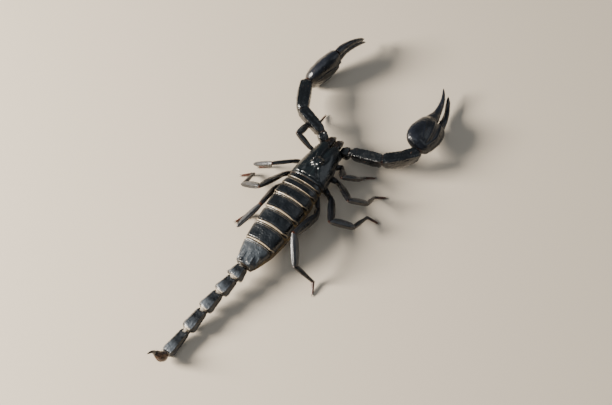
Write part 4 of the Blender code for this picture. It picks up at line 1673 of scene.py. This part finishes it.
@dataclass
class Hand:
    """One pincer hand, "left" or "right", with its fixed and movable fingers."""

    side: str
    keels: tuple[tuple[float, float, float], ...] = (
        (-3.6, 20.0, 1.0), (-0.6, 17.0, 0.6), (2.6, 14.0, 0.45))
    keel_height: float = 0.36
    hollow: float = 0.2
    swelling: float = 0.2
    wrist_rim: float = 0.22
    knuckle: float = 0.35
    palm_end: float = 18.0
    finger_keel: float = 0.16
    finger_angles: tuple[float, ...] = (-35.0, 35.0, 145.0, -145.0)
    point_reach: float = 1.6
    point_amount: float = 0.75
    teeth: int = 15
    first_tooth: float = 19.0
    last_tooth_before_tip: float = 1.5
    tooth_radii: tuple[float, float] = (0.34, 0.22)
    palm_bristles: int = 60
    palm_bristles_end: float = 31.0
    finger_bristles: int = 22
    finger_bristles_end: float = 29.0

    def __post_init__(self) -> None:
        """Find how the hand lies."""
        self.hand_node = f"palp_{self.side}_hand"
        self.finger_node = f"palp_{self.side}_finger"
        arm = node_centre(f"palp_{self.side}_patella")
        self.limb = Limb(self.hand_node, 2.0 * node_centre(self.hand_node) - arm)
        both = np.concatenate([node_points(self.hand_node), node_points(self.finger_node)])
        forward = self.limb.direction
        across = node_points(self.hand_node).mean(axis=0) - node_points(self.finger_node).mean(axis=0)
        across = across - forward * (across @ forward)
        _, _, axes = np.linalg.svd(both - both.mean(axis=0))
        inner = axes[1] - forward * (axes[1] @ forward)
        self.inner = inner / np.linalg.norm(inner) * np.sign(inner @ across)
        self.forward = forward
        self.back = np.cross(self.inner, forward) * SIDE_SIGNS[self.side]
        run = (both - self.limb.centre) @ forward
        self.wrist = self.limb.centre + forward * run.min()

    def across(self, places: Points) -> np.ndarray:
        """Give how far each place lies towards the hand's inner edge, in mm."""
        return (places - self.wrist) @ self.inner / MM

    def along(self, places: Points) -> np.ndarray:
        """Give how far each place lies from the wrist, in mm."""
        return (places - self.wrist) @ self.forward / MM

    def height(self, places: Points) -> np.ndarray:
        """Give how far each place lies towards the back of the hand, in mm."""
        return (places - self.wrist) @ self.back / MM

    def build(self, bristles: Bristles) -> None:
        """Model the palm, then the movable finger and the teeth of both fingers.

        Args:
            bristles: where its bristles are planted.
        """
        self.build_palm(bristles)
        self.build_finger(bristles)
        self.build_teeth(self.hand_node, -1.0, 0.3)
        self.build_teeth(self.finger_node, 1.0, 0.0)

    def ridges(self, places: Points) -> np.ndarray:
        """Mask the keels along the palm.

        Args:
            places: where the mask is wanted.

        Returns:
            The keels' height, from 0 to 1; they are lower on the underside.
        """
        u, v, w = self.across(places), self.along(places), self.height(places)
        total = np.zeros(len(places))
        for offset, reach, strength in self.keels:
            line = offset * ramp(v, -2.0, 9.0) + 0.05 * v
            total += strength * bell(u - line, 0.0, 0.27) * ramp(v, 1.5, 4.0) * ramp(v, reach, reach - 4.0)
        return total * np.where(w > 0.0, 1.0, 0.6)

    def hollows(self, places: Points) -> np.ndarray:
        """Mask the hollow between the two outer keels."""
        u, v = self.across(places), self.along(places)
        return bell(u, -2.1, 1.0) * ramp(v, 3.0, 6.0) * ramp(v, 19.0, 14.0)

    def build_palm(self, bristles: Bristles) -> None:
        """Model the palm with its fixed finger.

        Args:
            bristles: where its bristles are planted.
        """
        palm = Piece.from_node(self.hand_node, growth=0.12, lip=0.2).smooth_out(4)
        palm.swell(self.swelling, lambda p: ramp(self.along(p), 1.0, 4.0) * ramp(self.along(p), 17.0, 14.0))
        palm.sharpen(self.finger_tip(self.hand_node), self.point_reach, self.point_amount)
        palm.swell(self.keel_height, self.ridges)
        palm.swell(-self.hollow, self.hollows)
        palm.swell(self.wrist_rim, lambda p: bell(self.along(p), 1.6, 0.7))
        palm.swell(self.knuckle, lambda p: bell(self.along(p), self.palm_end, 2.2))
        palm.roughen("CLOUDS", 2.2, 0.18, lambda p: ramp(self.along(p), 22.0, 16.0))
        palm.roughen("VORONOI", 0.75, 0.12, lambda p: 0.3 + ramp(self.across(p), 3.0, 6.0)
                     * ramp(self.along(p), self.palm_end, 14.0))
        palm.mark("joint", lambda p: 0.45 * ramp(self.along(p), 27.0, 33.0))
        # painted sheen on the faces that look up
        palm.dust(0.8)
        palm.settle(f"hand_{self.side}", Finishes.HAND, "black_cuticle", self.hand_node)
        bristles.plant(f"hand_{self.side}", palm, self.limb, self.palm_bristles, 1.0,
                       lambda p: (self.along(p) < self.palm_bristles_end).astype(float))

    def build_finger(self, bristles: Bristles) -> None:
        """Model the movable finger.

        Args:
            bristles: where its bristles are planted.
        """
        far = self.limb.tip + self.forward * 0.02
        jaw = Limb(self.finger_node, far, up=self.back)
        finger = Piece.from_node(self.finger_node, growth=0.06, lip=0.15).smooth_out(3)
        finger.sharpen(self.finger_tip(self.finger_node), self.point_reach, self.point_amount)
        finger.swell(self.finger_keel, jaw.keels(self.finger_angles, 0.16))
        finger.roughen("VORONOI", 0.6, 0.08)
        finger.mark("joint", lambda p: 0.45 * ramp(self.along(p), 26.0, 32.0))
        # painted sheen on the faces that look up
        finger.dust(0.6)
        finger.settle(f"finger_{self.side}", Finishes.HAND, "black_cuticle", self.finger_node)
        bristles.plant(f"hand_{self.side}", finger, jaw, self.finger_bristles, 0.8,
                       lambda p: (self.along(p) < self.finger_bristles_end).astype(float))

    def finger_tip(self, node: str) -> np.ndarray:
        """Give the middle of a finger's far end."""
        points = node_points(node)
        along = self.along(points)
        return points[along > along.max() - 0.4].mean(axis=0)

    def build_teeth(self, node: str, sign: float, step: float) -> None:
        """Set a row of small teeth along the edge with which a finger bites.

        Args:
            node: the finger's CAD node.
            sign: 1 if that edge is the finger's inner one, or -1.
            step: by what share of a tooth's spacing the row is moved on.
        """
        points = node_points(node)
        along = self.along(points)
        stations = np.arange(self.first_tooth - 2.0, along.max(), 1.4)
        edge = []
        for station in stations:
            near = points[np.abs(along - station) < 1.7]
            best = np.argsort(self.across(near) * sign)[-2:]
            edge.append(near[best].mean(axis=0))
        edge = np.array(edge)
        teeth = []
        reach = along.max() - self.first_tooth - self.last_tooth_before_tip
        for index in range(self.teeth):
            station = self.first_tooth + (index + step) * reach / self.teeth
            spot = [float(np.interp(station, self.along(edge), edge[:, axis])) for axis in range(3)]
            radius = self.tooth_radii[index % 4 > 0] * (1.0 - 0.4 * index / self.teeth)
            teeth.append(Piece.primitive("tooth", "ico_sphere", subdivisions=2, radius=radius * MM,
                                         location=spot))
        row = Piece.joined(f"teeth_{node}", teeth)
        row.roughen("CLOUDS", 0.3, 0.05)
        row.settle(f"teeth_{node}", Finishes.TOOTH, "black_cuticle")


# ---------------------------------------------------------------- tail
@dataclass
class Tail:
    """Five keeled tail segments with the skin between them, pale on top and dark on its sides: the pale top
    partly its own colour and partly a painted highlight, the dark sides painted shade.
    """

    growth: float = 0.06
    girth: float = 0.12
    keel: float = 0.28
    hollow: float = 0.35
    flare: float = 0.26
    grain: float = 0.16
    shoulder: float = 0.22
    skin_size: float = 1.02
    bristles_each: int = 12
    keel_angles: tuple[float, ...] = (-42.0, 42.0, 84.0, -84.0, 126.0, -126.0, 155.0, -155.0)

    def build(self, bristles: Bristles) -> None:
        """Model the segments and their joint skins.

        Args:
            bristles: where the bristles are planted.
        """
        names = [f"metasoma_{number}" for number in range(1, TAIL_SEGMENTS + 1)]
        centres = [node_centre(name) for name in names] + [node_centre("telson_bulb")]
        limbs = [Limb(name, after) for name, after in zip(names, centres[1:])]
        for limb in limbs:
            self.build_segment(limb, bristles)
        joints = list(zip(limbs, limbs[1:]))
        skin = Piece.joined("tail_skins", [joint_skin(near, far, self.skin_size) for near, far in joints])
        aloft = skin.normals()[:, 2]
        # painted shade: the skin is darkened on its sides and underside, where it faces away from the light
        # above
        skin.mark("joint", lambda p: ramp(aloft, 0.8, 0.5))
        skin.settle("tail_joint_skins", Finishes.TAIL_JOINT, "membrane")
        knobs = [knob for near, far in joints for knob in joint_knobs(near, far)]
        Piece.joined("tail_knobs", knobs).settle("tail_joint_knobs", Finishes.ARM, "black_cuticle")

    def build_segment(self, limb: Limb, bristles: Bristles) -> None:
        """Model one segment.

        Args:
            limb: the segment's line.
            bristles: where its bristles are planted.
        """
        piece = Piece.from_node(limb.node, growth=self.growth, lip=0.25).smooth_out(4)
        ridges = limb.keels(self.keel_angles, 0.11)

        def trough(places: Points) -> np.ndarray:
            """Mask the trough along the upper face."""
            share = limb.share(places)
            return bell(limb.angle(places), 0.0, 0.5) * ramp(share, 0.1, 0.32) * ramp(share, 0.97, 0.8)

        def shoulders(places: Points) -> np.ndarray:
            """Mask the two swellings at the front."""
            return bell(np.abs(limb.angle(places)), 0.8, 0.25) * bell(limb.share(places), 0.13, 0.08)

        def joint_highlights(places: Points) -> np.ndarray:
            """Mask the painted highlights on the upper side of the segment's ends."""
            share, around = limb.share(places), np.abs(limb.angle(places))
            rear = ramp(share, 0.93, 0.985) * ramp(around, 0.9, 0.5)
            front = ramp(share, 0.17, 0.07) * ramp(around, 0.5, 0.3)
            return np.maximum(rear, front)

        piece.swell(-self.hollow, trough)
        piece.swell(self.flare, lambda p: bell(limb.share(p), 0.8, 0.14))
        piece.swell(self.girth, limb.middle_part)
        piece.swell(self.shoulder, shoulders)
        piece.swell(self.keel, lambda p: ridges(p) * (0.88 + 0.12 * np.sin(limb.share(p) * 90.0)))
        piece.roughen("VORONOI", 0.42, self.grain,
                      lambda p: (0.3 + 0.75 * ridges(p)) * limb.middle_part(p))
        piece.mark("joint", joint_highlights)
        up = piece.normals()[:, 2]
        # painted highlight: upward faces of the rear half get a strong sheen, the front half almost none
        piece.mark("dust", lambda p: ramp(up, 0.3, 0.95) * (0.08 + 1.1 * ramp(limb.share(p), 0.42, 0.8)))
        piece.settle(limb.node + "_shell", Finishes.TAIL, "black_cuticle", limb.node)
        bristles.plant("tail", piece, limb, self.bristles_each, 0.8)


@dataclass
class Telson:
    """Poison bulb and the sting that grows out of it."""

    lobe: float = 0.3
    furrow: float = 0.18
    furrow_angles: tuple[float, ...] = (0.0, 60.0, -60.0, 120.0, -120.0)
    grain: float = 0.1
    bristles_on_bulb: int = 44

    def build(self, bristles: Bristles) -> None:
        """Model bulb and sting.

        Args:
            bristles: where the bristles are planted.
        """
        limb = Limb("telson_bulb", np.array(node_centre("telson_sting")))
        bulb = Piece.from_node("telson_bulb", growth=0.1, lip=0.3).smooth_out(4)
        bulb.swell(-self.furrow, limb.keels(self.furrow_angles, 0.16))
        bulb.swell(self.lobe, lambda p: bell(limb.share(p), 0.5, 0.25) * (p[:, 1] > limb.centre[1]))
        bulb.roughen("VORONOI", 0.7, self.grain)
        bulb.mark("joint", lambda p: np.maximum(0.8 * ramp(limb.share(p), 0.22, 0.02),
                                                ramp(limb.share(p), 0.86, 1.0)))
        bulb.settle("poison_bulb", Finishes.BULB, "telson_cuticle", "telson_bulb")
        bristles.plant("telson", bulb, limb, self.bristles_on_bulb, 0.9)
        sting = Piece.from_node("telson_sting", growth=0.03, lip=0.08).smooth_out(3)
        base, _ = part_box("telson_sting")
        points = node_points("telson_sting")
        sting.sharpen(points[points[:, 1] > points[:, 1].max() - 0.3 * MM].mean(axis=0), 1.5, 0.8)
        sting.mark("joint", lambda p: ramp(p[:, 2], base.z - 0.8 * MM, base.z + 0.9 * MM))
        sting.settle("sting", Finishes.STING, "sting_cuticle", "telson_sting")


# ---------------------------------------------------------------- studio
@dataclass
class Studio:
    """Plain pale floor, soft lights and the camera."""

    aim: tuple[float, float, float] = (-0.386, -6.782, 0.0)
    azimuth: float = 214.0
    elevation: float = 60.0
    distance: float = 546.0
    lens: float = 85.0
    floor_half: float = 3000.0
    floor_colour: tuple[float, float, float, float] = (0.76, 0.66, 0.53, 1.0)
    sky_colour: tuple[float, float, float, float] = (0.78, 0.86, 0.95, 1.0)
    sky_strength: float = 0.16

    def build(self) -> None:
        """Set up the floor, the lights, the surroundings and the camera."""
        self.build_floor()
        low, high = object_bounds()
        middle = Vector(((low[0] + high[0]) / 2.0, (low[1] + high[1]) / 2.0, 0.0))
        self.add_light("key", middle, azimuth=128.0, elevation=25.0, distance=700.0, size=220.0,
                       power=17.0, colour=(1.0, 0.93, 0.83))
        self.add_light("top", middle, azimuth=200.0, elevation=75.0, distance=900.0, size=600.0,
                       power=0.9, colour=(0.88, 0.94, 1.0))
        self.add_light("fill", middle, azimuth=320.0, elevation=35.0, distance=900.0, size=500.0,
                       power=0.6, colour=(0.88, 0.94, 1.0))
        world = bpy.data.worlds.new("surroundings")
        world.use_nodes = True
        sky = world.node_tree.nodes["Background"]
        sky.inputs["Color"].default_value = self.sky_colour
        sky.inputs["Strength"].default_value = self.sky_strength
        bpy.context.scene.world = world
        self.add_camera(middle)

    def build_floor(self) -> None:
        """Lay the floor."""
        floor = Piece.primitive("floor", "plane", size=2.0 * self.floor_half * MM,
                                location=(0.0, 0.0, 0.0))
        material = bpy.data.materials.new("floor_paper")
        material.use_nodes = True
        shader = material.node_tree.nodes["Principled BSDF"]
        shader.inputs["Base Color"].default_value = self.floor_colour
        shader.inputs["Roughness"].default_value = 0.9
        floor.item.data.materials.append(material)
        floor.item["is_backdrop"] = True

    @staticmethod
    def direction(azimuth: float, elevation: float) -> Vector:
        """Give the unit vector from the object towards a place; azimuth 0 is -Y, 90 is +X."""
        turn, tilt = math.radians(azimuth), math.radians(elevation)
        return Vector((math.sin(turn) * math.cos(tilt), -math.cos(turn) * math.cos(tilt), math.sin(tilt)))

    def add_light(self, name: str, aim: Vector, azimuth: float, elevation: float, distance: float,
                  size: float, power: float, colour: tuple[float, float, float]) -> None:
        """Add a square soft light that faces the object.

        Args:
            name: the light's name.
            aim: the point that it faces.
            azimuth: where it stands, in degrees.
            elevation: how high it stands, in degrees.
            distance: how far away it stands, in mm.
            size: its side, in mm.
            power: its power, in watts.
            colour: its colour.
        """
        light = bpy.data.lights.new(name, "AREA")
        light.size = size * MM
        light.energy = power
        light.color = colour
        item = bpy.data.objects.new(name, light)
        towards = self.direction(azimuth, elevation)
        item.location = aim + towards * distance * MM
        item.rotation_euler = towards.to_track_quat("Z", "Y").to_euler()
        bpy.context.scene.collection.objects.link(item)

    def add_camera(self, middle: Vector) -> None:
        """Add the camera, looking down on the animal from behind its right side.

        Args:
            middle: the point under the animal's middle that the aim is measured from.
        """
        camera = bpy.data.cameras.new("camera")
        camera.lens = self.lens
        camera.sensor_width = 36.0
        camera.clip_start = 0.01
        item = bpy.data.objects.new("camera", camera)
        towards = self.direction(self.azimuth, self.elevation)
        item.location = middle + Vector(self.aim) * MM + towards * self.distance * MM
        item.rotation_euler = towards.to_track_quat("Z", "Y").to_euler()
        bpy.context.scene.collection.objects.link(item)
        bpy.context.scene.camera = item


def main() -> None:
    """Build every sub-assembly in order, then the studio."""
    logging.basicConfig(level=logging.INFO, format="%(name)s %(message)s")
    for part in (Carapace(), Eyes(), Jaws(), BackPlates(), Trunk(), HeadUnderside(), Combs()):
        LOG.info("building %s", type(part).__name__)
        part.build()
    bristles = Bristles()
    for part in (Legs(), PincerArms(), Tail(), Telson()):
        LOG.info("building %s", type(part).__name__)
        part.build(bristles)
    bristles.build()
    Studio().build()


if __name__ == "__main__":
    main()
